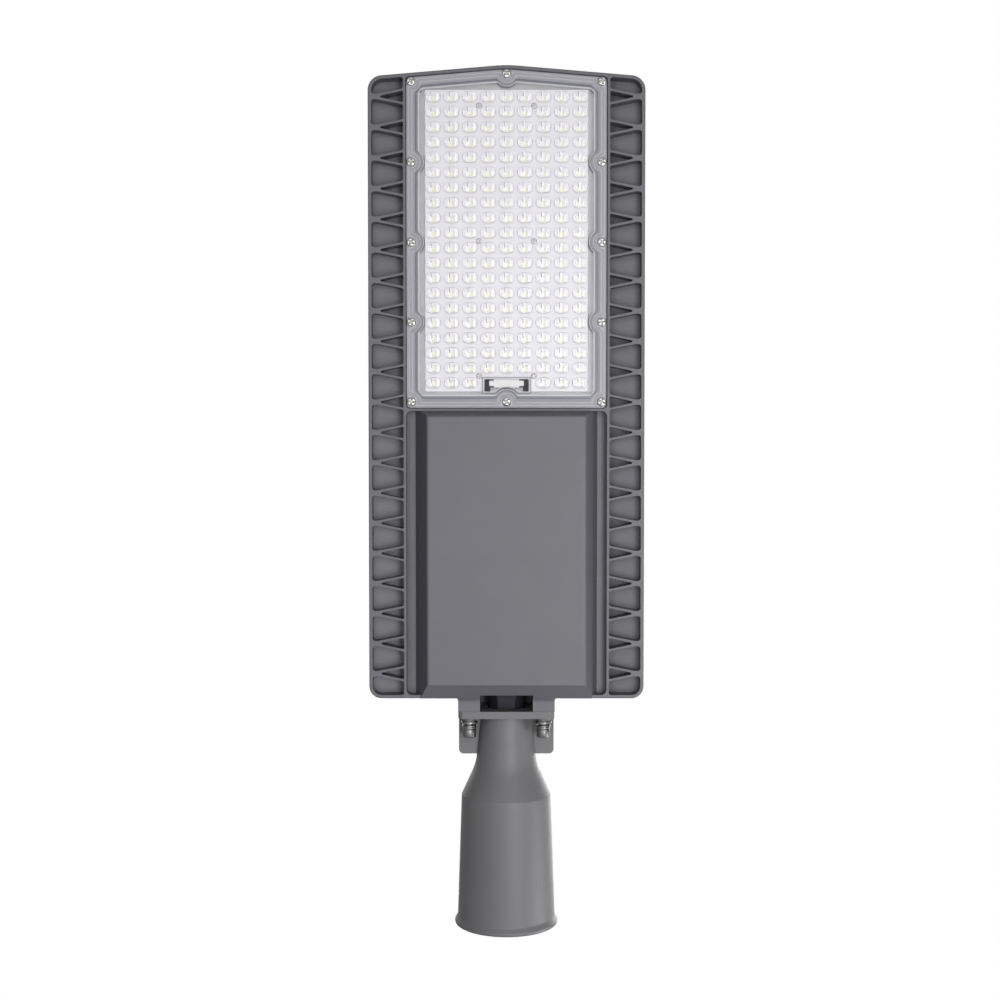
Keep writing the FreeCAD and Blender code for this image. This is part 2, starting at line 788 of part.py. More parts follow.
def make_led_board():
    board = prism(rectangle(board_half_width, board_tail_y, board_nose_y), 1.0, "xy",
                  board_face_z, board_seat_z)
    notch = prism(rectangle(board_notch_half_width, board_tail_y - 1,
                            board_tail_y + board_notch_length), 0.0, "xy",
                  board_face_z - 1, board_seat_z + 1)
    holes = [rod(board_screw_radius + board_screw_hole_gap, board_face_z - 1, board_seat_z + 1, x=x, y=y)
             for x, y in board_screw_places()]
    return board.cut(Part.makeCompound([notch] + holes))


def make_led_packages():
    half = led_size / 2
    corners = rectangle(half, -half, half)
    packages = []
    for x, y in led_places():
        outline = [(x + led_shift + u, y + v) for u, v in corners]
        packages.append(prism(outline, 0.0, "xy", led_face_z, board_face_z))
    return Part.makeCompound(packages)


def pan_screw(x, y, seat_z, radius, length, head_radius, head_height, down):
    """A pan-head screw whose head rests on seat_z; down is -1 where the head points at -Z."""
    crown = head_radius * pan_crown_share
    rim = head_height * pan_rim_share
    profile = [(0.0, 0.0), (head_radius, 0.0), (head_radius, rim), (crown, head_height),
               (0.0, head_height)]
    face = rounded_face(profile, 0.0, "xz", 0.0)
    head = face.revolve(Vector(0, 0, 0), Vector(0, 0, 1), 360)
    shank = rod(radius, -length, 0.5)
    screw = head.fuse(shank)
    if down < 0:
        screw.rotate(Vector(0, 0, 0), Vector(1, 0, 0), 180)
    screw.translate(Vector(x, y, seat_z))
    return screw


def make_lens_screws():
    return Part.makeCompound([
        pan_screw(x, y, lens_face_z, lens_screw_radius, lens_screw_length,
                  lens_screw_head_radius, lens_screw_head_height, -1)
        for x, y in lens_screw_places()])


def make_board_screws():
    return Part.makeCompound([
        pan_screw(x, y, board_face_z, board_screw_radius, board_screw_length,
                  board_screw_head_radius, board_screw_head_height, -1)
        for x, y in board_screw_places()])


def make_board_connector():
    start = board_tail_y + board_notch_length - connector_length - connector_gap
    body = prism(rectangle(connector_half_width, start, start + connector_length),
                 connector_corner_radius, "xy", board_seat_z - connector_height, board_seat_z)
    way = rod(lead_radius + lead_gap, board_seat_z - lead_end_depth - lead_gap, board_seat_z + 1,
              y=lead_hole_y)
    return body.cut(way)


def make_led_driver():
    tail = tail_y + driver_tail_offset
    base = bay_floor_z + driver_floor_gap
    body = prism(rectangle(driver_half_width, tail, tail + driver_length), driver_corner_radius,
                 "xy", base, base + driver_height)
    tab_z = bay_floor_z + driver_post_height
    tabs = prism(rectangle(driver_tab_half_width, tail - driver_tab_length,
                           tail + driver_length + driver_tab_length), driver_corner_radius, "xy",
                 tab_z, tab_z + driver_tab_thickness)
    holes = [rod(driver_screw_radius + clearance, tab_z - 1, tab_z + driver_tab_thickness + 1, x=x, y=y)
             for x, y in driver_screw_places()]
    return body.fuse(tabs).cut(Part.makeCompound(holes))


def make_driver_screws():
    seat = bay_floor_z + driver_post_height + driver_tab_thickness
    return Part.makeCompound([
        pan_screw(x, y, seat, driver_screw_radius, driver_screw_length, driver_screw_head_radius,
                  driver_screw_head_height, 1) for x, y in driver_screw_places()])


def make_driver_cover():
    points, radius = door_outline(door_gap)
    plate = prism(points, radius, "xy", door_seat_z, door_top_z)
    points, radius = door_outline(door_panel_margin)
    low = rounded_face(points, door_panel_radius, "xy", door_top_z)
    panel = low.extrude(Vector(0, 0, door_panel_height))
    holes = []
    for x, y in door_screw_places():
        holes.append(rod(door_screw_radius + clearance, door_seat_z - 1, door_top_z + 1, x=x, y=y))
        holes.append(rod(door_screw_head_radius + door_gap, door_top_z - door_screw_head_height,
                         door_top_z + 1, x=x, y=y))
    return plate.fuse(panel).removeSplitter().cut(Part.makeCompound(holes))


def make_driver_cover_gasket():
    inset = door_ledge_width - door_gasket_width
    points, radius = door_outline(inset)
    outer = prism(points, radius, "xy", door_ledge_z, door_seat_z)
    points, radius = door_outline(door_ledge_width)
    inner = prism(points, radius, "xy", door_ledge_z - 1, door_seat_z + 1)
    return outer.cut(inner)


def make_driver_cover_screws():
    seat = door_top_z - door_screw_head_height
    return Part.makeCompound([
        pan_screw(x, y, seat, door_screw_radius, door_screw_length, door_screw_head_radius,
                  door_screw_head_height, 1) for x, y in door_screw_places()])


def make_terminal_block():
    start = tail_y + terminal_tail_offset
    end = start + terminal_length
    base = prism(rectangle(terminal_half_width, start, end), terminal_corner_radius, "xy",
                 bay_floor_z, bay_floor_z + terminal_step_height)
    ridge = prism(rectangle(terminal_half_width - terminal_ridge_inset, start + terminal_ridge_step,
                            end - terminal_ridge_step), 0.0,
                  "xy", bay_floor_z + terminal_step_height - 1, bay_floor_z + terminal_height)
    wells = []
    pitch = terminal_half_width * 2 / 3
    for k in (-1, 0, 1):
        for y in (start + terminal_well_inset, end - terminal_well_inset):
            wells.append(rod(terminal_well_radius, bay_floor_z + terminal_well_floor,
                             bay_floor_z + terminal_height, x=k * pitch, y=y))
    return base.fuse(ridge).cut(Part.makeCompound(wells))


def make_surge_protector():
    """A potted block in its own case, glued to the floor of the bay."""
    start = tail_y + surge_tail_offset
    outline = [(surge_centre_x + u, v)
               for u, v in rectangle(surge_half_width, start, start + surge_length)]
    return prism(outline, surge_corner_radius, "xy", bay_floor_z, bay_floor_z + surge_height)


def make_earth_screw():
    x, y = earth_screw_place()
    return pan_screw(x, y, bay_floor_z + earth_boss_height, earth_screw_radius, earth_screw_length,
                     earth_screw_head_radius, earth_screw_head_height, 1)


def bent_tube(points, radius, bend):
    """A round lead along straight runs joined by arcs of one bend radius."""
    path = []
    last = points[0]
    for before, corner, after in zip(points[:-2], points[1:-1], points[2:]):
        back = (before - corner).normalize()
        on = (after - corner).normalize()
        half_angle = back.getAngle(on) / 2
        reach = bend / math.tan(half_angle)
        start, end = corner + back * reach, corner + on * reach
        middle = corner + (back + on).normalize() * (bend / math.sin(half_angle) - bend)
        path.append(Part.LineSegment(last, start).toShape())
        path.append(Part.Arc(start, middle, end).toShape())
        last = end
    path.append(Part.LineSegment(last, points[-1]).toShape())
    spine = Part.Wire(path)
    ring = Part.Wire([Part.makeCircle(radius, points[0], points[1] - points[0])])
    return spine.makePipeShell([ring], True, False)


def make_led_lead():
    """The lead from the driver's nose end, over the step and down to the board connector."""
    driver_end = tail_y + driver_tail_offset + driver_length
    start = Vector(lead_start_x, driver_end, bay_floor_z + lead_start_height)
    top = slot_floor_z + lead_rise
    points = [start, start + Vector(0, lead_run_out, 0), Vector(0.0, lead_hole_y - lead_run_in, top),
              Vector(0.0, lead_hole_y, top),
              Vector(0.0, lead_hole_y, board_seat_z - lead_end_depth)]
    return bent_tube(points, lead_radius, lead_bend_radius)


def make_input_lead():
    """The short lead from the terminal block into the driver's tail end."""
    driver_end = tail_y + driver_tail_offset
    block_end = tail_y + terminal_tail_offset + terminal_length
    middle = (driver_end + block_end) / 2
    start = Vector(lead_start_x, driver_end, bay_floor_z + input_lead_start_height)
    height = bay_floor_z + terminal_lead_height
    points = [start, Vector(start.x, middle, start.z), Vector(input_lead_end_x, middle, height),
              Vector(input_lead_end_x, block_end, height)]
    return bent_tube(points, input_lead_radius, input_lead_bend)


def make_spigot():
    """Socket cup, cone, neck tube, flange and stiffening web, cast in one."""
    cone_end = cup_length + cone_length
    outer = [(socket_radius, 0.0), (lip_radius, 0.0), (lip_radius, lip_height),
             (cup_mouth_radius, lip_height + lip_blend), (cup_end_radius, cup_length),
             (cone_end_radius, cone_end), (neck_tube_radius, flange_front_y),
             (neck_tube_radius, spigot_length)]
    shoulder = cup_length + cone_root_wall
    inner = [(tube_bore_radius, spigot_length), (tube_bore_radius, cone_end + bore_taper_length),
             (cone_end_radius - cone_wall, cone_end - 1), (socket_radius - socket_step, shoulder),
             (socket_radius - socket_step, socket_depth), (socket_radius, socket_depth)]
    radii = [0, lip_edge_radius, lip_top_radius, lip_root_radius, cup_edge_radius, neck_tube_blend]
    radii += [0] * (len(outer + inner) - len(radii))
    body = rounded_face(outer + inner, radii).revolve(Vector(0, 0, 0), Vector(0, 1, 0), 360)
    flange = prism([(-neck_half_width, -flange_half_height), (neck_half_width, -flange_half_height),
                    (neck_half_width, flange_half_height), (-neck_half_width, flange_half_height)],
                   flange_corner_radius, "xz", flange_front_y, spigot_length)
    web = prism(rectangle(neck_half_width, flange_front_y - web_length, flange_front_y + 1),
                [web_corner_radius, web_corner_radius, 0, 0], "xy",
                -web_half_thickness, web_half_thickness)
    pads = [rod(flange_pad_radius, flange_front_y - flange_pad_height, flange_front_y + 1, "y",
                x=x, z=z) for x, z in flange_bolt_places()]
    bosses = [rod(clamp_boss_radius, socket_radius, clamp_boss_height, y=y)
              for y in clamp_screw_offsets]
    body = body.fuse([flange, web] + pads + bosses)
    core = rounded_face([(0.0, -1.0), (socket_radius, -1.0)] + [
        (socket_radius, socket_depth), (socket_radius - socket_step, socket_depth),
        (socket_radius - socket_step, shoulder), (cone_end_radius - cone_wall, cone_end - 1),
        (tube_bore_radius, cone_end + bore_taper_length), (tube_bore_radius, spigot_length + 1),
        (0.0, spigot_length + 1)]).revolve(Vector(0, 0, 0), Vector(0, 1, 0), 360)
    holes = [rod(flange_bolt_radius + flange_bolt_hole_gap, flange_front_y - flange_pad_height - 1,
                 spigot_length + 1, "y", x=x, z=z) for x, z in flange_bolt_places()]
    holes += [rod(clamp_screw_radius + thread_gap, 1.0, clamp_boss_height + 1, y=y)
              for y in clamp_screw_offsets]
    return body.cut(core).cut(Part.makeCompound(holes)).removeSplitter()


def make_flange_bolts():
    """Socket-head bolts; each head stands on its washers on the spigot side."""
    seat = flange_front_y - flange_pad_height - flat_washer_thickness - spring_washer_height
    bolts = []
    for x, z in flange_bolt_places():
        head = rod(flange_bolt_head_radius, seat - flange_bolt_head_height, seat, "y", x=x, z=z)
        shank = rod(flange_bolt_radius, seat - 1, seat + flange_bolt_length, "y", x=x, z=z)
        socket = hexagon(flange_bolt_socket_width, seat - flange_bolt_head_height - 1,
                         seat - flange_bolt_head_height + flange_bolt_socket_depth, "y", x=x, z=z)
        bolts.append(head.fuse(shank).removeSplitter().cut(socket))
    return Part.makeCompound(bolts)


def make_flat_washers():
    end = flange_front_y - flange_pad_height
    start = end - flat_washer_thickness
    washers = []
    for x, z in flange_bolt_places():
        disc = rod(flat_washer_radius, start, end, "y", x=x, z=z)
        hole = rod(flange_bolt_radius + flange_bolt_hole_gap, start - 1, end + 1, "y", x=x, z=z)
        washers.append(disc.cut(hole))
    return Part.makeCompound(washers)


def make_spring_washers():
    """Split rings with a slanting cut, at their free height."""
    end = flange_front_y - flange_pad_height - flat_washer_thickness
    start = end - spring_washer_height
    washers = []
    for x, z in flange_bolt_places():
        disc = rod(spring_washer_radius, start, end, "y", x=x, z=z)
        hole = rod(flange_bolt_radius + flange_bolt_hole_gap, start - 1, end + 1, "y", x=x, z=z)
        half = spring_washer_split / 2
        lean = spring_washer_lean / 2
        cut = [(x - half - lean, start), (x + half - lean, start), (x + half + lean, end),
               (x - half + lean, end)]
        split = prism(cut, 0.0, "xy", z - spring_washer_radius - 1, z)
        washers.append(disc.cut(hole).cut(split))
    return Part.makeCompound(washers)


def make_clamp_screws():
    """Hex-head screws that hold the pole end; their tips stand clear of the socket."""
    screws = []
    seat = clamp_boss_height + clamp_head_gap
    for y in clamp_screw_offsets:
        shank = rod(clamp_screw_radius, socket_radius + clamp_tip_gap, seat + 1, y=y)
        head = hexagon(clamp_head_width, seat, seat + clamp_head_height, y=y)
        screws.append(shank.fuse(head).removeSplitter())
    return Part.makeCompound(screws)


def make_gland_body():
    """The gland's hexagon, its thread through the tail wall and the stem for the dome nut."""
    start = window_end_y - gland_hex_thickness
    stem_end = start - gland_dome_length + gland_stem_inset
    body = hexagon(gland_hex_width, start, window_end_y, "y")
    thread = rod(gland_thread_radius, window_end_y - 1, window_end_y + gland_inner_length, "y")
    stem = rod(gland_stem_radius, stem_end, start + 1, "y")
    bore = rod(gland_seal_radius, stem_end - 1, window_end_y + gland_inner_length + 1, "y")
    return body.fuse([thread, stem]).removeSplitter().cut(bore)


def make_gland_dome_nut():
    """The domed nut that squeezes the seal round the cable."""
    end = window_end_y - gland_hex_thickness
    start = end - gland_dome_length
    hexed = hexagon(gland_dome_width, start + gland_dome_run, end, "y")
    dome = Part.makeCone(gland_dome_mouth_radius + gland_dome_lip,
                         gland_dome_width / 2 - gland_dome_shoulder, gland_dome_run,
                         Vector(0, start, 0), Vector(0, 1, 0))
    bore = rod(gland_stem_radius + thread_gap, start + gland_dome_bore_floor, end + 1, "y")
    mouth = rod(gland_dome_mouth_radius, start - 1, end, "y")
    return hexed.fuse(dome).removeSplitter().cut(Part.makeCompound([bore.fuse(mouth)]))


def make_gland_seal():
    """The rubber bush inside the gland."""
    end = window_end_y - gland_hex_thickness
    start = end - gland_dome_length + gland_stem_inset
    bush = rod(gland_seal_radius, start, end, "y")
    return bush.cut(rod(gland_cable_radius, start - 1, end + 1, "y"))


def make_gland_locknut():
    """The nut inside the driver bay."""
    nut = hexagon(gland_nut_width, bay_tail_y, bay_tail_y + gland_nut_thickness, "y")
    return nut.cut(rod(gland_thread_radius + thread_gap, bay_tail_y - 1,
                       bay_tail_y + gland_nut_thickness + 1, "y"))


MAKERS = {
    "housing": make_housing,
    "lens_cover": make_lens_cover,
    "lens_gasket": make_lens_gasket,
    "lens_screws": make_lens_screws,
    "led_board": make_led_board,
    "led_packages": make_led_packages,
    "board_screws": make_board_screws,
    "board_connector": make_board_connector,
    "led_lead": make_led_lead,
    "led_driver": make_led_driver,
    "driver_screws": make_driver_screws,
    "terminal_block": make_terminal_block,
    "input_lead": make_input_lead,
    "surge_protector": make_surge_protector,
    "earth_screw": make_earth_screw,
    "driver_cover": make_driver_cover,
    "driver_cover_gasket": make_driver_cover_gasket,
    "driver_cover_screws": make_driver_cover_screws,
    "spigot": make_spigot,
    "flange_bolts": make_flange_bolts,
    "flat_washers": make_flat_washers,
    "spring_washers": make_spring_washers,
    "clamp_screws": make_clamp_screws,
    "gland_body": make_gland_body,
    "gland_dome_nut": make_gland_dome_nut,
    "gland_seal": make_gland_seal,
    "gland_locknut": make_gland_locknut,
}

os.makedirs("parts", exist_ok=True)
for node, maker in MAKERS.items():
    shape = maker()
    shape.exportStep(f"parts/{node}.step")
    print(node, "solids", len(shape.Solids), "valid", shape.isValid(), "faces", len(shape.Faces),
          "volume", round(shape.Volume), "mm3")
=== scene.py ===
import math

import bmesh
import bpy
import numpy as np
from mathutils import Matrix, Vector


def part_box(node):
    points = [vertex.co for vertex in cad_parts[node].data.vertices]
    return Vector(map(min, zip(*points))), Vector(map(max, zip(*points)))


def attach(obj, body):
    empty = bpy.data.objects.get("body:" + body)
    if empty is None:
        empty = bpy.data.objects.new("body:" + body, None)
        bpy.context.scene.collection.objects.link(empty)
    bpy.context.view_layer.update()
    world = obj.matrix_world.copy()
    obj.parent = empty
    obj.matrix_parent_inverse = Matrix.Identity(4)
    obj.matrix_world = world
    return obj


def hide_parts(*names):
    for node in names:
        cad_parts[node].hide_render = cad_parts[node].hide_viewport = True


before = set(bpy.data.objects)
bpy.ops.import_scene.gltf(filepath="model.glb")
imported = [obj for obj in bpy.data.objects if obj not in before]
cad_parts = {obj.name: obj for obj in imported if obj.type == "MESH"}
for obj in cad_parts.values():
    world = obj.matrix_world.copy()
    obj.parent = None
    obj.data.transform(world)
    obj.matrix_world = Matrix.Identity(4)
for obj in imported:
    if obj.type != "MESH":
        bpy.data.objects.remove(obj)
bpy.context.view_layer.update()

# Metres throughout, on the frame's own axes: the spigot's mouth is the origin, +Y runs to the nose of
# the head, +Z is the sky and the light leaves towards -Z.
MM = 0.001

# The housing's recess for the lens plate, whose nose is a blunt peak, and the plate's levels
lens_low, lens_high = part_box("lens_cover")
board_low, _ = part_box("led_board")
led_low, led_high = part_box("led_packages")
RECESS_GAP = 0.4 * MM
NOSE_SLOPE = 0.084
PEAK_BLUNTED = 0.34 * MM
PEAK_RADIUS = 95 * MM
CORNER_RADIUS = 3 * MM
RECESS_HALF = lens_high.x + RECESS_GAP
RECESS_TAIL = lens_low.y - RECESS_GAP
RECESS_PEAK = lens_high.y + RECESS_GAP + PEAK_BLUNTED
FLANGE_FACE = -33.0 * MM
FLANGE_BACK = -30.0 * MM
PLATEAU = -34.5 * MM
PAD = -29.3 * MM

# Screws round the lens plate
screw_low, screw_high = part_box("lens_screws")
SCREW_HEAD = 3.2 * MM
SCREW_SPAN = screw_high.x - SCREW_HEAD
SCREW_FIRST = screw_low.y + SCREW_HEAD
SCREW_PEAK = screw_high.y - SCREW_HEAD
SCREW_PITCH = 57.5 * MM
SCREW_ROWS = 5
SCREW_HOLE = 1.95 * MM

# Light emitting diodes on the board
LED_COLUMNS = 9
LED_ROWS = 20
CONNECTOR_COLUMNS = range(3, 6)
LED_SIZE = 3.0 * MM
PITCH_X = (led_high.x - led_low.x - LED_SIZE) / (LED_COLUMNS - 1)
PITCH_Y = (led_high.y - led_low.y - LED_SIZE) / (LED_ROWS - 1)
MIDDLE_Y = (led_high.y + led_low.y) / 2
LED_SHIFT = (led_high.x + led_low.x) / 2


def lens_screw_places():
    """Two columns of screws, one screw at the peak of the nose and one at the tail."""
    places = []
    for row in range(SCREW_ROWS):
        y = SCREW_FIRST + row * SCREW_PITCH
        places += [(-SCREW_SPAN, y), (SCREW_SPAN, y)]
    return places + [(0.0, SCREW_PEAK), (0.0, SCREW_FIRST)]


def led_places():
    """Rows and columns of diodes; three in the tail row give way to the connector."""
    places = []
    for row in range(LED_ROWS):
        for column in range(LED_COLUMNS):
            offset = column - (LED_COLUMNS - 1) / 2
            if row == 0 and column in CONNECTOR_COLUMNS:
                continue
            places.append((offset * PITCH_X, MIDDLE_Y + (row - (LED_ROWS - 1) / 2) * PITCH_Y))
    return places


def board_screw_places():
    """Six screws, each midway between four diodes."""
    reach = (LED_ROWS / 2 - 1) * PITCH_Y
    return [(sx * 1.5 * PITCH_X, MIDDLE_Y + sy * reach) for sx in (-1, 1) for sy in (-1, 0, 1)]


# Materials. Most noise values lie between these two.
NOISE_LOW = 0.3
NOISE_HIGH = 0.7


def start_material(name, colour, roughness, metallic=0.0):
    """A principled material whose constants sit on its own sockets."""
    material = bpy.data.materials.new(name)
    material.use_nodes = True
    tree = material.node_tree
    shader = tree.nodes["Principled BSDF"]
    shader.inputs["Base Color"].default_value = (*colour, 1.0)
    shader.inputs["Roughness"].default_value = roughness
    shader.inputs["Metallic"].default_value = metallic
    return material, tree, shader


def reckoned(tree, operation, first, second):
    """The result of one mathematical operation on two sockets."""
    node = tree.nodes.new("ShaderNodeMath")
    node.operation = operation
    tree.links.new(first, node.inputs[0])
    tree.links.new(second, node.inputs[1])
    return node.outputs["Value"]


def mixed(tree, share, first, second):
    """A shader that goes over from the first to the second as the share goes from 0 to 1."""
    mix = tree.nodes.new("ShaderNodeMixShader")
    tree.links.new(share, mix.inputs["Fac"])
    tree.links.new(first, mix.inputs[1])
    tree.links.new(second, mix.inputs[2])
    return mix.outputs[0]


def rays_of(tree, kinds):
    """1 for rays of any of these kinds, and 0 for all others."""
    path = tree.nodes.new("ShaderNodeLightPath")
    total = path.outputs[kinds[0]]
    for other in kinds[1:]:
        total = reckoned(tree, "MAXIMUM", total, path.outputs[other])
    return total


def object_noise(tree, scale, detail, stretch=(1.0, 1.0, 1.0)):
    """Noise on the object's own coordinates; scale is in features per metre."""
    coordinates = tree.nodes.new("ShaderNodeTexCoord")
    mapping = tree.nodes.new("ShaderNodeMapping")
    mapping.inputs["Scale"].default_value = stretch
    noise = tree.nodes.new("ShaderNodeTexNoise")
    noise.inputs["Scale"].default_value = scale
    noise.inputs["Detail"].default_value = detail
    tree.links.new(coordinates.outputs["Object"], mapping.inputs["Vector"])
    tree.links.new(mapping.outputs["Vector"], noise.inputs["Vector"])
    return noise.outputs["Fac"]


def vary_colour(tree, shader, noise, colour, spread):
    """Base colour that drifts a little to both sides of its mean with the noise."""
    ramp = tree.nodes.new("ShaderNodeValToRGB")
    ramp.color_ramp.elements[0].position = NOISE_LOW
    ramp.color_ramp.elements[1].position = NOISE_HIGH
    ramp.color_ramp.elements[0].color = (*[c * (1 - spread) for c in colour], 1.0)
    ramp.color_ramp.elements[1].color = (*[c * (1 + spread) for c in colour], 1.0)
    tree.links.new(noise, ramp.inputs["Fac"])
    tree.links.new(ramp.outputs["Color"], shader.inputs["Base Color"])


def add_bump(tree, shader, height, distance, strength, edge=0.0):
    """Bump from a height field; edge is the radius that rounds sharp cast or moulded edges."""
    bump = tree.nodes.new("ShaderNodeBump")
    bump.inputs["Distance"].default_value = distance
    bump.inputs["Strength"].default_value = strength
    tree.links.new(height, bump.inputs["Height"])
    if edge:
        bevel = tree.nodes.new("ShaderNodeBevel")
        bevel.samples = 4
        bevel.inputs["Radius"].default_value = edge
        tree.links.new(bevel.outputs["Normal"], bump.inputs["Normal"])
    tree.links.new(bump.outputs["Normal"], shader.inputs["Normal"])


def vary_roughness(tree, shader, noise, low, high):
    """Roughness that wanders between two levels with the noise."""
    levels = tree.nodes.new("ShaderNodeMapRange")
    levels.inputs["From Min"].default_value = NOISE_LOW
    levels.inputs["From Max"].default_value = NOISE_HIGH
    levels.inputs["To Min"].default_value = low
    levels.inputs["To Max"].default_value = high
    tree.links.new(noise, levels.inputs["Value"])
    tree.links.new(levels.outputs["Result"], shader.inputs["Roughness"])


def powder_coat(name, colour):
    """Satin polyester powder on a casting: fine orange peel, faint drift of tone, soft edges."""
    material, tree, shader = start_material(name, colour, 0.5)
    vary_colour(tree, shader, object_noise(tree, 22.0, 4.0), colour, 0.02)
    vary_roughness(tree, shader, object_noise(tree, 60.0, 3.0), 0.48, 0.53)
    add_bump(tree, shader, object_noise(tree, 900.0, 3.0), 0.12 * MM, 0.25, 0.5 * MM)
    return material


def inside_box(tree, low, high):
    """1 where the object's own coordinates lie inside a box, and 0 outside it."""
    coordinates = tree.nodes.new("ShaderNodeTexCoord")
    split = tree.nodes.new("ShaderNodeSeparateXYZ")
    tree.links.new(coordinates.outputs["Object"], split.inputs["Vector"])
    mask = None
    for axis, start, end in zip("XYZ", low, high):
        near = tree.nodes.new("ShaderNodeMath")
        near.operation = "COMPARE"
        near.inputs[1].default_value = (start + end) / 2
        near.inputs[2].default_value = (end - start) / 2
        tree.links.new(split.outputs[axis], near.inputs[0])
        within = near.outputs["Value"]
        mask = within if mask is None else reckoned(tree, "MULTIPLY", mask, within)
    return mask


def bare_inside(material, low, high, colour, metallic):
    """Milled bare aluminium in place of the coat inside a box."""
    tree = material.node_tree
    shader = tree.nodes["Principled BSDF"]
    mask = inside_box(tree, low, high)
    mix = tree.nodes.new("ShaderNodeMix")
    mix.data_type = "RGBA"
    # A Mix node has its two colours on sockets 6 and 7, and their mix on output 2
    coat_side, bare_side = mix.inputs[6], mix.inputs[7]
    tree.links.new(mask, mix.inputs["Factor"])
    coat_colour = shader.inputs["Base Color"].links[0].from_socket
    tree.links.new(coat_colour, coat_side)
    bare_side.default_value = (*colour, 1.0)
    tree.links.new(mix.outputs[2], shader.inputs["Base Color"])
    metal = tree.nodes.new("ShaderNodeMath")
    metal.operation = "MULTIPLY"
    metal.inputs[1].default_value = metallic
    tree.links.new(mask, metal.inputs[0])
    tree.links.new(metal.outputs["Value"], shader.inputs["Metallic"])


def plastic(name, colour, roughness, gloss=0.5):
    """Moulded plastic with a fine spark-eroded grain and slightly soft edges."""
    material, tree, shader = start_material(name, colour, roughness)
    shader.inputs["Specular IOR Level"].default_value = gloss
    vary_colour(tree, shader, object_noise(tree, 120.0, 3.0), colour, 0.04)
    add_bump(tree, shader, object_noise(tree, 1400.0, 2.0), 0.05 * MM, 0.3, 0.2 * MM)
    return material


def rubber(name, colour):
    """Moulded rubber: matt, with a slightly uneven skin."""
    material, tree, shader = start_material(name, colour, 0.75)
    vary_colour(tree, shader, object_noise(tree, 200.0, 3.0), colour, 0.08)
    add_bump(tree, shader, object_noise(tree, 700.0, 4.0), 0.1 * MM, 0.3)
    return material


def stainless(name, colour, roughness=0.34):
    """Stainless steel with faint turning marks."""
    material, tree, shader = start_material(name, colour, roughness, 1.0)
    vary_roughness(tree, shader, object_noise(tree, 900.0, 3.0), roughness - 0.08, roughness + 0.1)
    add_bump(tree, shader, object_noise(tree, 1600.0, 2.0, (1.0, 1.0, 4.0)), 0.03 * MM, 0.3)
    return material


def white_board(name):
    """Satin white solder mask over copper areas that stand a hair proud."""
    colour = (0.86, 0.85, 0.87)
    material, tree, shader = start_material(name, colour, 0.38)
    vary_colour(tree, shader, object_noise(tree, 90.0, 2.0), colour, 0.02)
    add_bump(tree, shader, object_noise(tree, 500.0, 2.0), 0.04 * MM, 0.3)
    return material


def phosphor(name):
    """Pale yellow silicone over the diode's die, its tone drifting a little with fine noise."""
    colour = (0.87, 0.845, 0.69)
    material, tree, shader = start_material(name, colour, 0.35)
    vary_colour(tree, shader, object_noise(tree, 1500.0, 2.0), colour, 0.06)
    return material


def clear_lens(name, colour, transmission, roughness):
    """Moulded acrylic that lets the lamps' light through to what lies behind it."""
    material, tree, shader = start_material(name, colour, roughness)
    shader.inputs["IOR"].default_value = 1.49
    shader.inputs["Transmission Weight"].default_value = transmission
    lets_through = rays_of(tree, ["Is Shadow Ray", "Is Diffuse Ray"])
    # A ray of light crosses the plate's two faces, so each face dims it by the root of the colour
    open_way = tree.nodes.new("ShaderNodeBsdfTransparent")
    open_way.inputs["Color"].default_value = (*[c ** 0.5 for c in colour], 1.0)
    surface = mixed(tree, lets_through, shader.outputs[0], open_way.outputs[0])
    tree.links.new(surface, tree.nodes["Material Output"].inputs["Surface"])
    return material


# The floor of the lens recess is milled after coating: a thin box round its level, the board's seat
coat = powder_coat("powder_coat_housing", (0.115, 0.113, 0.130))
bare_inside(coat, (-68 * MM, 390 * MM, -27 * MM), (68 * MM, 624 * MM, -26 * MM),
            (0.35, 0.35, 0.358), 0.3)
spigot_coat = powder_coat("powder_coat_spigot", (0.135, 0.1345, 0.141))
steel = stainless("stainless_steel", (0.50, 0.485, 0.465))
dull_steel = stainless("stainless_steel_dull", (0.16, 0.158, 0.155), 0.38)
# Darker, rougher steel as painted shade inside the screws' cross recesses
recess_shade_steel = stainless("stainless_steel_painted_recess_shade", (0.42, 0.41, 0.395), 0.6)
black_nylon = plastic("black_nylon", (0.016, 0.016, 0.018), 0.5)
dull_nylon = plastic("black_nylon_dull", (0.032, 0.032, 0.042), 0.6, gloss=0.15)
black_rubber = rubber("black_rubber", (0.020, 0.020, 0.021))
grey_rubber = rubber("grey_rubber", (0.27, 0.27, 0.28))
solder_mask = white_board("white_solder_mask")
phosphor_gel = phosphor("diode_phosphor")
white_plastic = plastic("white_plastic", (0.86, 0.86, 0.85), 0.42)
driver_grey = plastic("driver_case_grey", (0.33, 0.34, 0.36), 0.4)
acrylic = clear_lens("clear_acrylic", (0.97, 0.97, 0.98), 1.0, 0.0)
frosted = clear_lens("frosted_acrylic", (0.495, 0.495, 0.54), 0.5, 0.35)
# Darker frosted acrylic as painted shade: lines in the optics' creases and down the plate's steps
shade_line_acrylic = clear_lens("frosted_acrylic_painted_shade_line", (0.34, 0.34, 0.40), 0.5, 0.4)
# Paler frosted acrylic as painted highlight: light lines on the plate's steps and round the cap's wall
highlight_line_acrylic = clear_lens("frosted_acrylic_painted_highlight", (0.68, 0.68, 0.70), 0.35, 0.4)
# Grey frosted acrylic as painted shade along each optic's outline
optic_outline_shade = clear_lens("frosted_optic_painted_shade_ring", (0.72, 0.70, 0.755), 0.55, 0.3)
# Dark frosted acrylic as painted shade round the foot of the connector's cap
hood_foot_shade = clear_lens("frosted_acrylic_painted_hood_shade", (0.20, 0.20, 0.235), 0.2, 0.4)


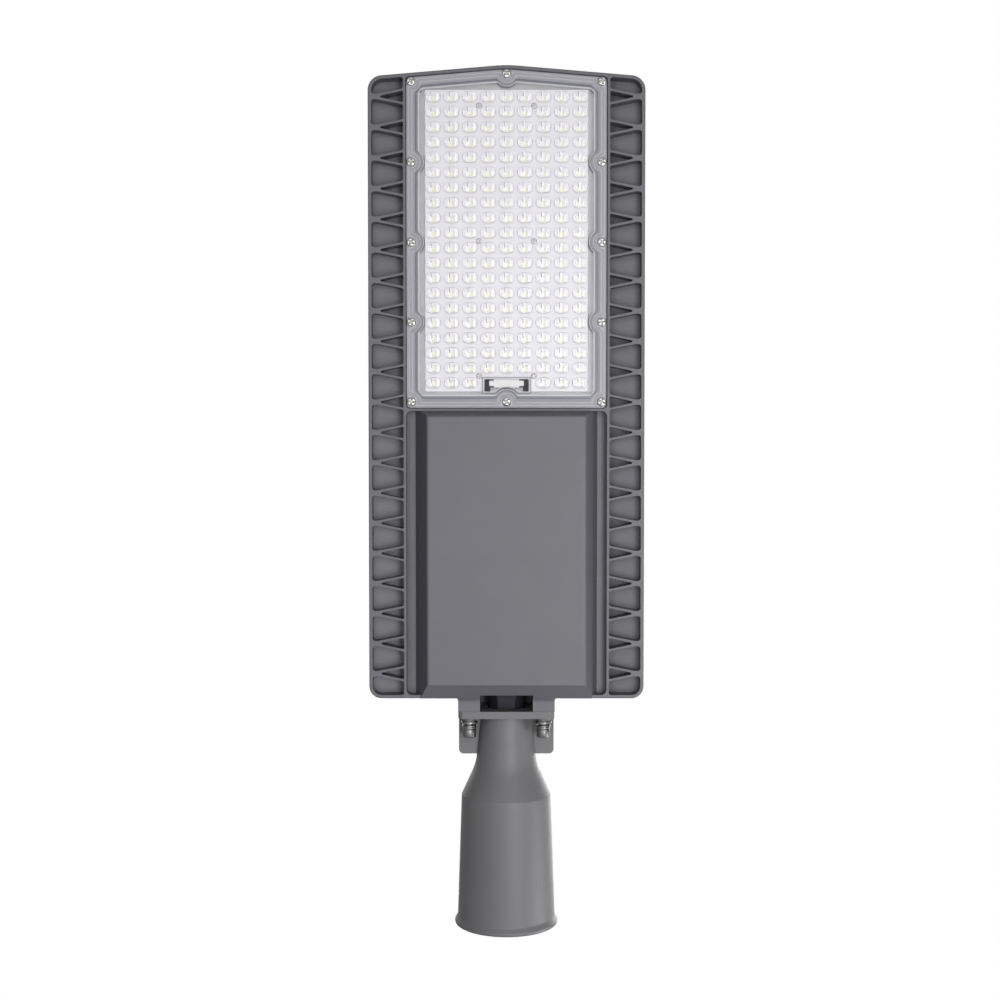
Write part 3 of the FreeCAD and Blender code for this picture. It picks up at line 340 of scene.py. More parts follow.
# Mesh building: points nearer than WELD are one, and the solids' own edges are crisp from
# SOLID_CREASE degrees on
WELD = 1e-6
SOLID_CREASE = 30.0


def grid_faces(rows, columns, close_columns=False):
    """Quads between neighbouring rows and columns of a grid of points, as index quadruples."""
    r = np.arange(rows - 1)[:, None] * columns
    c = np.arange(columns if close_columns else columns - 1)[None, :]
    c2 = (c + 1) % columns
    quads = np.stack([r + c, r + c2, r + columns + c2, r + columns + c], -1)
    return quads.reshape(-1, 4)


def joined(parts):
    """Several (points, faces) or (points, faces, tones) as one, with the indices moved on."""
    points, faces, tones, start = [], [], [], 0
    for more_points, more_faces, *tone in parts:
        points.append(np.asarray(more_points).reshape(-1, 3))
        faces += [[int(i) + start for i in face] for face in more_faces]
        tones.append(np.broadcast_to(tone[0] if tone else 0, len(more_faces)))
        start += len(points[-1])
    return np.concatenate(points), faces, np.concatenate(tones)


def make_piece(name, parts, materials, node, sharp):
    """One object from parts: welded, faces outwards, smooth below the sharp angle.

    A part's tones, if it has any, number its faces' finishes in the list of materials.
    """
    points, faces, tones = joined(parts)
    mesh = bpy.data.meshes.new(name)
    mesh.from_pydata(points.tolist(), [], faces)
    mesh.polygons.foreach_set("material_index", tones.astype(np.int32))
    work = bmesh.new()
    work.from_mesh(mesh)
    bmesh.ops.remove_doubles(work, verts=work.verts, dist=WELD)
    bmesh.ops.dissolve_degenerate(work, edges=work.edges, dist=WELD)
    bmesh.ops.recalc_face_normals(work, faces=work.faces)
    work.to_mesh(mesh)
    work.free()
    settle(name, mesh, materials, node, sharp)


def settle(name, mesh, materials, node, sharp):
    """Links a mesh as a piece on the body, standing for its node, with its finishes and shading."""
    if len(mesh.materials):
        mesh.materials.clear()
    for material in materials:
        mesh.materials.append(material)
    mesh.shade_smooth()
    mesh.set_sharp_from_angle(angle=math.radians(sharp))
    piece = bpy.data.objects.new(name, mesh)
    bpy.context.scene.collection.objects.link(piece)
    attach(piece, "root")
    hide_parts(node)
    return piece


def refine(node, material):
    """A welded copy of a node's solid with smooth rounds and crisp edges, in its finish."""
    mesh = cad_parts[node].data.copy()
    for layer in ("custom_normal", "sharp_face", "sharp_edge"):
        if layer in mesh.attributes:
            mesh.attributes.remove(mesh.attributes[layer])
    work = bmesh.new()
    work.from_mesh(mesh)
    bmesh.ops.remove_doubles(work, verts=work.verts, dist=WELD)
    work.to_mesh(mesh)
    work.free()
    piece = settle(node + "_body", mesh, [material], node, SOLID_CREASE)
    weighted = piece.modifiers.new("even_shading", "WEIGHTED_NORMAL")
    weighted.keep_sharp = True


refine("housing", coat)
refine("spigot", spigot_coat)
refine("driver_cover", coat)
refine("led_board", solder_mask)
refine("lens_gasket", grey_rubber)
for gland_part in ("gland_body", "gland_dome_nut", "gland_locknut"):
    refine(gland_part, dull_nylon)


# The lens plate


def rounded_loop(corners, radii, arc_steps, side_steps):
    """A closed walk round a polygon with round corners, always with the same number of points.

    Each corner gives an arc of its radius, tangent to both sides, and each side the points between
    the end of its arc and the start of the next one.
    """
    corners = np.asarray(corners, float)
    count = len(corners)
    starts, ends, arcs = [], [], []
    for i in range(count):
        back = corners[i - 1] - corners[i]
        on = corners[(i + 1) % count] - corners[i]
        back = back / np.linalg.norm(back)
        on = on / np.linalg.norm(on)
        half = math.acos(np.clip(back @ on, -1, 1)) / 2
        reach = radii[i] / math.tan(half)
        inward = (back + on) / np.linalg.norm(back + on)
        centre = corners[i] + inward * radii[i] / math.sin(half)
        first = corners[i] + back * reach - centre
        last = corners[i] + on * reach - centre
        turn = np.linspace(0.0, 1.0, arc_steps[i] + 1)[:, None]
        sweep = math.pi - 2 * half
        arc = (first * np.sin((1 - turn) * sweep) + last * np.sin(turn * sweep)) / math.sin(sweep)
        arcs.append(centre + arc)
        starts.append(arcs[-1][0])
        ends.append(arcs[-1][-1])
    walk = []
    for i in range(count):
        along = np.linspace(0.0, 1.0, side_steps[i] + 1)[1:-1, None]
        walk.append(arcs[i])
        walk.append(ends[i] + (starts[(i + 1) % count] - ends[i]) * along)
    return np.concatenate(walk)


def plate_outline(margin):
    """The lens recess's outline moved in by margin: two sides, a tail and a nose with a blunt peak."""
    half = RECESS_HALF - margin
    peak = RECESS_PEAK - margin * math.hypot(1, NOSE_SLOPE)
    corner = peak - NOSE_SLOPE * half
    tail = RECESS_TAIL + margin
    corners = [(-half, tail), (half, tail), (half, corner), (0.0, peak), (-half, corner)]
    radii = [CORNER_RADIUS] * 3 + [PEAK_RADIUS, CORNER_RADIUS]
    return rounded_loop(corners, radii, [10, 10, 10, 16, 10], [150, 260, 70, 70, 260])


# Rays from the recess wall inwards, and how softly a bite round a screw runs into the straight edge
RAY_DEPTH = 12 * MM
BITE_BLEND = 0.05
ray_start = plate_outline(0.0)
ray_end = plate_outline(RAY_DEPTH)


def scalloped_loop(margin, bite):
    """The outline moved in by margin, pushed further in by a round bite at every screw.

    Rays run from the recess wall straight inwards. On each ray the wanted share of the way is the
    larger of margin over the ray's depth and the share at which the ray leaves a screw's circle,
    with the hard choice between them rounded off by half the root of their squared difference.
    """
    step = ray_end - ray_start
    share = np.full(len(step), margin / RAY_DEPTH)
    for place in lens_screw_places():
        away = ray_start - np.array(place)
        a = (step * step).sum(1)
        b = 2 * (away * step).sum(1)
        c = (away * away).sum(1) - bite * bite
        root = b * b - 4 * a * c
        leave = (-b + np.sqrt(np.maximum(root, 0))) / (2 * a)
        leave = np.where((root > 0) & (leave > 0) & (leave < 1.5), leave, -1.0)
        share = (share + leave + np.sqrt((share - leave) ** 2 + BITE_BLEND ** 2)) / 2
    return ray_start + step * share[:, None]


def at_height(loop, z):
    """A flat loop lifted to a height."""
    return np.column_stack([loop, np.full(len(loop), z)])


def strip(loops):
    """Quads that join closed loops of equal count, one after the other."""
    grid = np.stack(loops)
    return grid.reshape(-1, 3), grid_faces(len(loops), grid.shape[1], close_columns=True)


def filled(loops, z):
    """A flat region at height z between an outer loop and any loops inside it, as triangles."""
    work = bmesh.new()
    for loop in loops:
        ring = [work.verts.new((x, y, z)) for x, y in loop]
        for i, vertex in enumerate(ring):
            work.edges.new((ring[i - 1], vertex))
    bmesh.ops.triangle_fill(work, edges=work.edges, use_beauty=True, normal=(0, 0, -1))
    work.verts.index_update()
    points = np.array([v.co for v in work.verts])
    faces = [[v.index for v in face.verts] for face in work.faces]
    work.free()
    return points, faces


def turns_of(steps):
    """Angles of equal steps once round."""
    return np.arange(steps) * 2 * math.pi / steps


def circle(x, y, radius):
    """24 points round a circle: its centre plus radius times (cos t, sin t)."""
    turn = turns_of(24)
    return np.column_stack([x + radius * np.cos(turn), y + radius * np.sin(turn)])


# Tones of the plate's faces, which are their places in its list of finishes
# The dark, ringed and shaded tones are painted shade, and the pale tone is painted highlight
CLEAR, MATT, SHADE_LINE, HIGHLIGHT_LINE, SHADED_RING, HOOD_SHADE = range(6)

# One optic: its half sizes, each lobe's middle and reach along X, the crease between the lobes with
# its groove, and the ring of painted shade from a share of the half size to a flat edge just outside it
OPTIC_HALF_X = 5.5 * MM
OPTIC_HALF_Y = 4.15 * MM
OPTIC_POWER = 2.5
OPTIC_HEIGHT = 1.95 * MM
LARGE_LOBE = (-1.5 * MM, 4.6 * MM)
SMALL_LOBE = (3.3 * MM, 2.9 * MM)
SMALL_SHARE = 0.9
LOBE_HALF_Y = OPTIC_HALF_Y * 1.05
OPTIC_CREASE = 1.32 * MM
GROOVE_HALF = 0.3 * MM
GROOVE_DEPTH = 0.14
RING_FROM = 0.9
RING_TO = 1.07


def lobe(x, y, centre, reach):
    """Height share of one lobe, (1 - |u|^p - |v|^p)^(1/p), u and v being its own ellipse shares."""
    u = np.abs((x - centre) / reach)
    v = np.abs(y / LOBE_HALF_Y)
    return np.clip(1 - u ** OPTIC_POWER - v ** OPTIC_POWER, 0, 1) ** (1 / OPTIC_POWER)


def optic_cell():
    """One optic on its rectangle of plate, about its own centre, and a tone number for each face.

    Columns at chosen x; in each column the points run from one side of the superellipse
    |x/a|^p + |y/b|^p = 1 to the other. The height is the larger of two lobes, one on each side of
    the crease, less a groove along the crease, both times a rim term (1 - rho^6)^0.4 that drops to
    zero on the outline. The outline times RING_TO gives a flat edge round it, and the rectangle's
    border has a point for each of the outline's. The optic's own outermost faces and the flat edge
    make a grey ring of painted shade; the groove carries painted shade in its half nearer the nose,
    and all the rest is clear.
    """
    x = np.concatenate([
        np.array([-1.0, -RING_FROM, -0.78, -0.6, -0.4, -0.2, 0.0]) * OPTIC_HALF_X,
        OPTIC_CREASE + np.array([-0.3, 0.0, 0.3]) * MM,
        np.array([0.44, 0.6, 0.76, RING_FROM, 1.0]) * OPTIC_HALF_X])
    across = np.array([-1.0, -0.88, -0.66, -0.36, 0.0, 0.36, 0.66, 0.88, 1.0])
    reach = np.clip(1 - np.abs(x / OPTIC_HALF_X * 0.985) ** OPTIC_POWER, 0, 1) ** (1 / OPTIC_POWER)
    grid_x, grid_v = np.meshgrid(x, across, indexing="ij")
    grid_y = grid_v * (reach * OPTIC_HALF_Y)[:, None]
    rho = (np.abs(grid_x / OPTIC_HALF_X) ** OPTIC_POWER
           + np.abs(grid_y / OPTIC_HALF_Y) ** OPTIC_POWER) ** (1 / OPTIC_POWER)
    large = lobe(grid_x, grid_y, *LARGE_LOBE)
    small = SMALL_SHARE * lobe(grid_x, grid_y, *SMALL_LOBE)
    rim = np.clip(1 - rho ** 6, 0, 1) ** 0.4
    groove = GROOVE_DEPTH * np.exp(-((grid_x - OPTIC_CREASE) / GROOVE_HALF) ** 2)
    edge = np.zeros_like(grid_x, bool)
    edge[[0, -1], :] = True
    edge[:, [0, -1]] = True
    height = np.where(edge, 0.0, OPTIC_HEIGHT * (np.maximum(large, small) * rim - groove * rim))
    dome = np.stack([grid_x, grid_y, -height], -1).reshape(-1, 3)
    columns, rows = len(x), len(across)
    tones = np.full((columns - 1, rows - 1), CLEAR)
    crease = int(np.argmin(np.abs(x - OPTIC_CREASE)))
    # Painted shade in the groove's half nearer the nose
    tones[crease - 1:crease + 1, rows // 2:] = SHADE_LINE
    # Painted shade ring on each optic's outermost faces and its flat edge
    tones[[0, -1], :] = SHADED_RING
    tones[:, [0, -1]] = SHADED_RING
    index = np.arange(columns * rows).reshape(columns, rows)
    rim_walk = np.concatenate([index[:, 0], index[-1, 1:], index[-2::-1, -1], index[0, -2:0:-1]])
    box_x = x / OPTIC_HALF_X * PITCH_X / 2
    box_y = across * PITCH_Y / 2
    walk = np.concatenate([
        np.column_stack([box_x, np.full(columns, -PITCH_Y / 2)]),
        np.column_stack([np.full(rows - 1, PITCH_X / 2), box_y[1:]]),
        np.column_stack([box_x[-2::-1], np.full(columns - 1, PITCH_Y / 2)]),
        np.column_stack([np.full(rows - 2, -PITCH_X / 2), box_y[-2:0:-1]])])
    count = len(walk)
    edge_walk = len(dome) + np.arange(count)
    loops = [rim_walk, edge_walk, edge_walk + count]
    bands = [np.column_stack([outer, np.roll(outer, -1), np.roll(inner, -1), inner])
             for inner, outer in zip(loops, loops[1:])]
    faces = np.concatenate([grid_faces(columns, rows)] + bands)
    points = np.concatenate([dome, dome[rim_walk] * RING_TO, np.column_stack([walk, np.zeros(count)])])
    tones = np.concatenate([tones.ravel(), np.full(count, SHADED_RING), np.full(count, CLEAR)])
    return points, faces, tones, box_x, box_y


def optic_field():
    """All the optics with their tones, and the outline of the area that their rectangles cover.

    The outline has every point of the rectangles' borders on it, and steps in round the connector.
    """
    points, faces, tones, box_x, box_y = optic_cell()
    parts = [(points + np.array([x, y, PLATEAU]), faces, tones) for x, y in led_places()]
    left = -(LED_COLUMNS - 1) / 2 * PITCH_X
    low = MIDDLE_Y - (LED_ROWS - 1) / 2 * PITCH_Y
    columns = [left + k * PITCH_X + box_x[:-1] for k in range(LED_COLUMNS)]
    rows = [low + k * PITCH_Y + box_y[:-1] for k in range(LED_ROWS)]
    xs = np.append(np.concatenate(columns), columns[-1][0] + PITCH_X)
    ys = np.append(np.concatenate(rows), rows[-1][0] + PITCH_Y)
    step_x, step_y = len(box_x) - 1, len(box_y) - 1
    near, far = CONNECTOR_COLUMNS.start * step_x, CONNECTOR_COLUMNS.stop * step_x
    outline = []
    outline += [(x, ys[0]) for x in xs[:near + 1]]
    outline += [(xs[near], y) for y in ys[1:step_y + 1]]
    outline += [(x, ys[step_y]) for x in xs[near + 1:far + 1]]
    outline += [(xs[far], y) for y in ys[step_y - 1::-1]]
    outline += [(x, ys[0]) for x in xs[far + 1:]]
    outline += [(xs[-1], y) for y in ys[1:]]
    outline += [(x, ys[-1]) for x in xs[-2::-1]]
    outline += [(xs[0], y) for y in ys[-2:0:-1]]
    return parts, np.array(outline)


# The cap over the board connector: a raised rectangle, hollow behind, arched round the tail screw
HOOD_HALF = 17.4 * MM
HOOD_TAIL = board_low.y - 1.4 * MM
HOOD_LENGTH = 11.2 * MM
HOOD_TOP = -37.0 * MM
HOOD_WALL = 1.1 * MM
HOOD_FOOT = 0.5 * MM
HOOD_CORNER = 0.9 * MM
HOOD_ARCH = 10.2 * MM


def hood_loop(inset):
    """The cap's outline moved in by inset; the arch grows by as much and the corners keep their arc."""
    half = HOOD_HALF - inset
    tail = HOOD_TAIL + inset
    front = HOOD_TAIL + HOOD_LENGTH - inset
    radius = HOOD_ARCH + inset
    rise = tail - SCREW_FIRST
    foot = math.sqrt(radius * radius - rise * rise)
    start = math.atan2(rise, -foot)
    turn = np.linspace(start, math.pi - start, 25)
    arch = np.column_stack([radius * np.cos(turn), SCREW_FIRST + radius * np.sin(turn)])
    quarter = np.linspace(0, math.pi / 2, 5)
    right_low = np.column_stack([half - HOOD_CORNER + HOOD_CORNER * np.sin(quarter),
                                 tail + HOOD_CORNER - HOOD_CORNER * np.cos(quarter)])
    right_high = np.column_stack([half - HOOD_CORNER + HOOD_CORNER * np.cos(quarter),
                                  front - HOOD_CORNER + HOOD_CORNER * np.sin(quarter)])
    left_high = right_high[::-1] * np.array([-1, 1])
    left_low = right_low[::-1] * np.array([-1, 1])
    return np.concatenate([arch, right_low, right_high, left_high, left_low])


# Profiles of the plate from the recess wall inwards: margin, bite round each screw, height, all in
# millimetres, and the tone of the strip that ends there
FLANGE_PROFILE = [(0.4, 0.0, -30.0, MATT), (0.4, 0.0, -32.7, MATT), (0.7, 0.0, -33.0, MATT)]
# In the steps the dark tone paints shade lines down the slope to the plateau, and the pale tone paints
# highlight lines on the small ridges and on a flat band at the inner edge
STEP_PROFILE = [
    (1.8, 3.4, -33.0, MATT), (2.1, 3.7, -33.25, HIGHLIGHT_LINE), (2.5, 4.0, -33.25, HIGHLIGHT_LINE),
    (2.7, 4.2, -33.0, MATT), (4.0, 5.8, -33.0, MATT), (4.2, 6.1, -33.5, HIGHLIGHT_LINE),
    (4.8, 6.6, -33.6, HIGHLIGHT_LINE), (5.1, 6.8, -33.5, MATT), (6.9, 7.7, -33.5, MATT),
    (7.3, 7.9, -33.9, SHADE_LINE), (8.4, 8.4, -34.1, SHADE_LINE), (8.8, 8.6, -34.5, SHADE_LINE),
    (9.1, 8.75, -34.5, HIGHLIGHT_LINE), (10.0, 9.1, -34.5, HIGHLIGHT_LINE)]
BACK_PROFILE = [(8.9, 8.4, -30.0, MATT), (8.9, 8.4, -29.3, MATT)]


def profile_strip(profile):
    """The loops of a profile of the plate, and the strip between them with a tone for each face."""
    loops = [at_height(scalloped_loop(m * MM, b * MM), z * MM) for m, b, z, _ in profile]
    points, faces = strip(loops)
    tones = np.repeat([row[3] for row in profile[1:]], len(ray_start))
    return loops, (points, faces, tones)


def make_lens_plate():
    """The clear plate: screw flange with holes, gasket steps, optics, connector cap and back."""
    edge, edge_part = profile_strip(FLANGE_PROFILE)
    steps, steps_part = profile_strip(STEP_PROFILE)
    back, back_part = profile_strip(BACK_PROFILE)
    holes = [circle(x, y, SCREW_HOLE) for x, y in lens_screw_places()]
    parts = [edge_part, steps_part, back_part]
    parts.append((*filled([edge[-1][:, :2], steps[0][:, :2]] + holes, FLANGE_FACE), MATT))
    parts.append((*filled([edge[0][:, :2], back[0][:, :2]] + holes, FLANGE_BACK), MATT))
    parts += [(*strip([at_height(hole, FLANGE_FACE), at_height(hole, FLANGE_BACK)]), MATT)
              for hole in holes]
    hollow = hood_loop(HOOD_WALL)
    parts.append((*filled([back[1][:, :2], hollow], PAD), CLEAR))
    optics, outline = optic_field()
    foot = hood_loop(-HOOD_FOOT)
    parts.append((*filled([steps[-1][:, :2], outline, foot], PLATEAU), CLEAR))
    parts += optics
    # A band of painted shade round the cap's foot
    parts.append((*strip([at_height(foot, PLATEAU), at_height(hood_loop(0.0), PLATEAU)]), HOOD_SHADE))
    # The cap's wall, paler as a painted highlight round the cap
    parts.append((*strip([at_height(hood_loop(0.0), PLATEAU),
                          at_height(hood_loop(0.15 * MM), HOOD_TOP + 0.25 * MM),
                          at_height(hood_loop(0.4 * MM), HOOD_TOP),
                          at_height(hollow, HOOD_TOP)]), HIGHLIGHT_LINE))
    parts.append((*filled([hollow], HOOD_TOP), CLEAR))
    parts.append((*strip([at_height(hollow, PAD), at_height(hollow, HOOD_TOP + HOOD_WALL)]), CLEAR))
    parts.append((*filled([hollow], HOOD_TOP + HOOD_WALL), CLEAR))
    make_piece("lens_plate", parts,
               [acrylic, frosted, shade_line_acrylic, highlight_line_acrylic, optic_outline_shade, hood_foot_shade],
               "lens_cover", 28.0)


make_lens_plate()


# Turned parts and screws


def turned(points, axis):
    """Points of a part that was made along +Z, kept so or laid along -Z or -Y."""
    x, y, z = points[:, 0], points[:, 1], points[:, 2]
    if axis == "+Z":
        return points
    if axis == "-Z":
        return np.column_stack([x, -y, -z])
    return np.column_stack([x, -z, y])


def carried_round(profile, turn, place, axis):
    """A profile of (radius, height) pairs at each turn about an axis through a place.

    A radius is one number, or one for each turn where the section isn't round.
    """
    rings = [np.column_stack([r * np.cos(turn), r * np.sin(turn), np.full(len(turn), z)])
             for r, z in profile]
    return (turned(np.concatenate(rings), axis) + np.array(place),
            grid_faces(len(profile), len(turn), close_columns=True))


def lathe(profile, place, axis, steps):
    """A profile carried round in equal steps."""
    return carried_round(profile, turns_of(steps), place, axis)


# Sides of a small screw's head, the half length and half width of its recess's arms as shares of the
# head's radius, the recess's depth as a share of the head's height, and the turns between screws
HEAD_SIDES = 48
ARM_LENGTH = 0.6
ARM_WIDTH = 0.17
ARM_DEPTH = 0.75
FIRST_TURN = 0.4
NEXT_TURN = 1.3


def crossed_head(radius, height, turn):
    """A pan head with a cross recess (tone 1), standing on z = 0 and open below.

    The top is a polar grid of height H (1 - 0.12 s^2 - 0.38 s^10), s being r/R, less a recess where
    the point lies in either arm of a cross. The recess is its depth times (1 - 0.5 s) inside 0.85
    of an arm's half sizes and nothing outside 1.15 of them, with a straight slope between.
    """
    shares = np.array([0.0, 0.08, 0.16, 0.24, 0.32, 0.4, 0.48, 0.56, 0.64, 0.74, 0.84, 0.93, 1.0])
    r, a = np.meshgrid(shares, turns_of(HEAD_SIDES), indexing="ij")
    x, y = r * np.cos(a + turn), r * np.sin(a + turn)
    across = np.minimum(np.maximum(np.abs(x) / ARM_LENGTH, np.abs(y) / ARM_WIDTH),
                        np.maximum(np.abs(y) / ARM_LENGTH, np.abs(x) / ARM_WIDTH))
    inside = np.clip((1.15 - across) / 0.3, 0, 1)
    recess = height * ARM_DEPTH
    z = height * (1 - 0.12 * r ** 2 - 0.38 * r ** 10) - recess * inside * (1 - 0.5 * r)
    x, y = r * np.cos(a) * radius, r * np.sin(a) * radius
    top = np.stack([x, y, z], -1).reshape(-1, 3)
    around = inside + np.roll(inside, -1, axis=1)
    tones = ((around[1:] + around[:-1]) / 4 > 0.45).astype(int).ravel()
    wall = lathe([(radius, height * 0.5), (radius, 0.0), (radius * 0.5, 0.0)], (0, 0, 0), "+Z",
                 HEAD_SIDES)
    return [(top, grid_faces(len(shares), HEAD_SIDES, close_columns=True), tones), wall]


def crossed_screws(name, places, seat, axis, radius, height, shank, length, node):
    """Pan-head screws whose recesses are each turned another way."""
    parts = []
    for number, (x, y) in enumerate(places):
        place = np.array([x, y, seat])
        for points, *rest in crossed_head(radius, height, FIRST_TURN + NEXT_TURN * number):
            parts.append((turned(points, axis) + place, *rest))
        body = [(radius * 0.5, 0.0), (shank, -0.01 * MM), (shank, -length + 0.5 * MM),
                (shank * 0.5, -length), (0.0, -length)]
        parts.append(lathe(body, place, axis, 20))
    # The recesses (tone 1) take the darker steel as painted shade
    make_piece(name, parts, [steel, recess_shade_steel], node, 40.0)


crossed_screws("lens_plate_screws", lens_screw_places(), FLANGE_FACE, "-Z", radius=SCREW_HEAD,
               height=2.0 * MM, shank=1.75 * MM, length=9.0 * MM, node="lens_screws")
crossed_screws("board_fixing_screws", board_screw_places(), board_low.z, "-Z", radius=2.2 * MM,
               height=1.2 * MM, shank=1.25 * MM, length=5.0 * MM, node="board_screws")


def socket_head(radius, height, socket_half, socket_depth, place):
    """A knurled cylinder head along -Y with a chamfered top and a hexagon socket.

    The wall's radius alternates by 0.12 mm from one of 96 points to the next. The socket's mouth
    is a hexagon of points at the same angles, r = a / cos(angle to the nearest flat's middle).
    """
    turn = turns_of(96)
    knurl = np.where(np.arange(96) % 2, 0.0, 0.12 * MM)
    fold = (turn + math.pi / 6) % (math.pi / 3) - math.pi / 6
    hexagon = socket_half / np.cos(fold)
    profile = [(radius * 0.6, 0.0), (radius - 0.4 * MM, 0.0), (radius - 0.1 * MM, 0.25 * MM),
               (radius - knurl, 0.5 * MM), (radius - knurl, height - 1.0 * MM),
               (radius - 0.15 * MM, height - 0.8 * MM), (radius - 0.3 * MM, height - 0.3 * MM),
               (radius - 0.7 * MM, height), (hexagon + 0.25 * MM, height),
               (hexagon, height - 0.25 * MM), (hexagon, height - socket_depth),
               (hexagon * 0.4, height - socket_depth - 0.4 * MM),
               (hexagon * 0.02, height - socket_depth - 0.5 * MM)]
    return carried_round(profile, turn, place, "-Y")


# A spring washer's turns, its wire's thickness and soft edge, and the steps of one turn
COIL_TURNS = 1.93
COIL_WIRE = 1.38 * MM
COIL_SOFT = 0.18 * MM
COIL_STEPS = 40


def coil(inner, outer, height, place):
    """A flat-wire spring washer along -Y: a rectangular section carried up a helix, ends cut square."""
    steps = int(COIL_STEPS * COIL_TURNS)
    angle = np.linspace(0.0, 2 * math.pi * COIL_TURNS, steps)
    rise = np.linspace(0.0, height - COIL_WIRE, steps)
    soft, thick = COIL_SOFT, COIL_WIRE
    section = [(inner, soft), (inner + soft, 0.0), (outer - soft, 0.0), (outer, soft),
               (outer, thick - soft), (outer - soft, thick), (inner + soft, thick),
               (inner, thick - soft)]
    points = np.stack([np.column_stack([r * np.cos(angle), r * np.sin(angle), rise + z])
                       for r, z in section], 1)
    faces = grid_faces(steps, len(section), close_columns=True).tolist()
    last = (steps - 1) * len(section)
    faces += [list(range(len(section)))[::-1], [last + k for k in range(len(section))]]
    return turned(points.reshape(-1, 3), "-Y") + np.array(place), faces


def make_flange_fixings():
    """Knurled socket-head bolts on double-coil spring washers and chamfered flat washers."""
    low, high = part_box("flange_bolts")
    flat_low, flat_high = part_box("flat_washers")
    coil_low, coil_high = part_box("spring_washers")
    head, shank, hole = 5.0 * MM, 3.0 * MM, 3.3 * MM
    socket_half, socket_depth = 2.5 * MM, 3.0 * MM
    tip = coil_low.y - high.y
    bolts, flats, coils = [], [], []
    for side, level in [(-1, -1), (-1, 1), (1, -1), (1, 1)]:
        x, z = side * (high.x - head), level * (high.z - head)
        seat = (x, coil_low.y, z)
        bolts.append(socket_head(head, coil_low.y - low.y, socket_half, socket_depth, seat))
        bolts.append(lathe([(head * 0.6, 0.0), (shank, -0.02 * MM), (shank, tip + 0.5 * MM),
                            (shank - 0.5 * MM, tip), (0.0, tip)], seat, "-Y", 32))
        outer = flat_high.x - abs(x)
        thick = flat_high.y - flat_low.y
        flats.append(lathe([(hole, 0.0), (outer - 0.1 * MM, 0.0), (outer, 0.1 * MM),
                            (outer, thick - 0.35 * MM), (outer - 0.35 * MM, thick),
                            (hole + 0.2 * MM, thick), (hole, thick - 0.2 * MM), (hole, 0.0)],
                           (x, flat_high.y, z), "-Y", 48))
        coils.append(coil(hole, coil_high.x - abs(x), coil_high.y - coil_low.y,
                          (x, coil_high.y, z)))
    make_piece("socket_bolts", bolts, [dull_steel], "flange_bolts", 34.0)
    make_piece("flange_flat_washers", flats, [dull_steel], "flat_washers", 34.0)
    make_piece("flange_spring_washers", coils, [dull_steel], "spring_washers", 40.0)


def threaded_rod(radius, pitch, depth, length):
    """Rings of a rod whose radius saws in and out along its length like a fine thread."""
    tip = 0.8 * MM
    profile = [(0.0, 0.0), (radius - tip, 0.0)]
    for k in range(int((length - tip) / pitch)):
        start = tip + k * pitch
        profile += [(radius - depth, start), (radius, start + pitch * 0.5)]
    profile += [(radius - depth, length), (0.0, length)]
    return lathe(profile, (0, 0, 0), "+Z", 28)


def make_clamp_fixings():
    """Hexagon-head screws with chamfered heads and threaded shanks on the sky side.

    A head's radius is a / cos(angle to the nearest flat's middle), a being half its width across
    flats, and a corner points along Y. The chamfer's rings are cut off at a little more than a.
    """
    low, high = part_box("clamp_screws")
    height = 5.3 * MM
    corner = math.pi / 6
    parts = []
    turn = turns_of(48)
    flat_half = high.x * math.cos(corner)
    hexagon = flat_half / np.cos(turn % (2 * corner) - corner)
    cap = np.minimum(hexagon, flat_half * 1.03)
    for y in (low.y + flat_half, high.y - flat_half):
        profile = [(hexagon * 0.5, -height), (cap, -height), (hexagon, -height + 0.5 * MM),
                   (hexagon, -0.6 * MM), (cap, -0.05 * MM), (cap * 0.9, 0.0), (cap * 0.02, 0.0)]
        parts.append(carried_round(profile, turn + corner, (0.0, y, high.z), "+Z"))
        rod_points, rod_faces = threaded_rod(radius=4.0 * MM, pitch=1.25 * MM, depth=0.5 * MM,
                                             length=high.z - low.z - height + 0.1 * MM)
        parts.append((rod_points + np.array([0.0, y, low.z]), rod_faces))
    make_piece("pole_clamp_screws", parts, [steel], "clamp_screws", 34.0)


def make_cover_screws():
    """Six screws round the driver cover on the sky side, in two columns of three."""
    low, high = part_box("driver_cover_screws")
    radius, height, shank = 3.5 * MM, 2.4 * MM, 2.0 * MM
    ys = [low.y + radius, (low.y + high.y) / 2, high.y - radius]
    places = [(sx * (high.x - radius), y) for sx in (-1, 1) for y in ys]
    crossed_screws("cover_fixing_screws", places, high.z - height, "+Z", radius, height, shank,
                   high.z - low.z - height, "driver_cover_screws")


make_flange_fixings()
make_clamp_fixings()
make_cover_screws()


# Connector and diodes


def bevelled_box(low, high, soft):
    """A box with 45-degree edges all round its -Z face and up its corners, as loops of eight points."""
    loops = []
    for inset, z in [(soft, low[2]), (0.0, low[2] + soft), (0.0, high[2])]:
        x0, y0, x1, y1 = low[0] + inset, low[1] + inset, high[0] - inset, high[1] - inset
        loops.append(np.array([
            (x0 + soft, y0, z), (x1 - soft, y0, z), (x1, y0 + soft, z), (x1, y1 - soft, z),
            (x1 - soft, y1, z), (x0 + soft, y1, z), (x0, y1 - soft, z), (x0, y0 + soft, z)]))
    points, faces = strip(loops)
    return points, faces.tolist() + [list(range(8)), list(range(16, 24))]


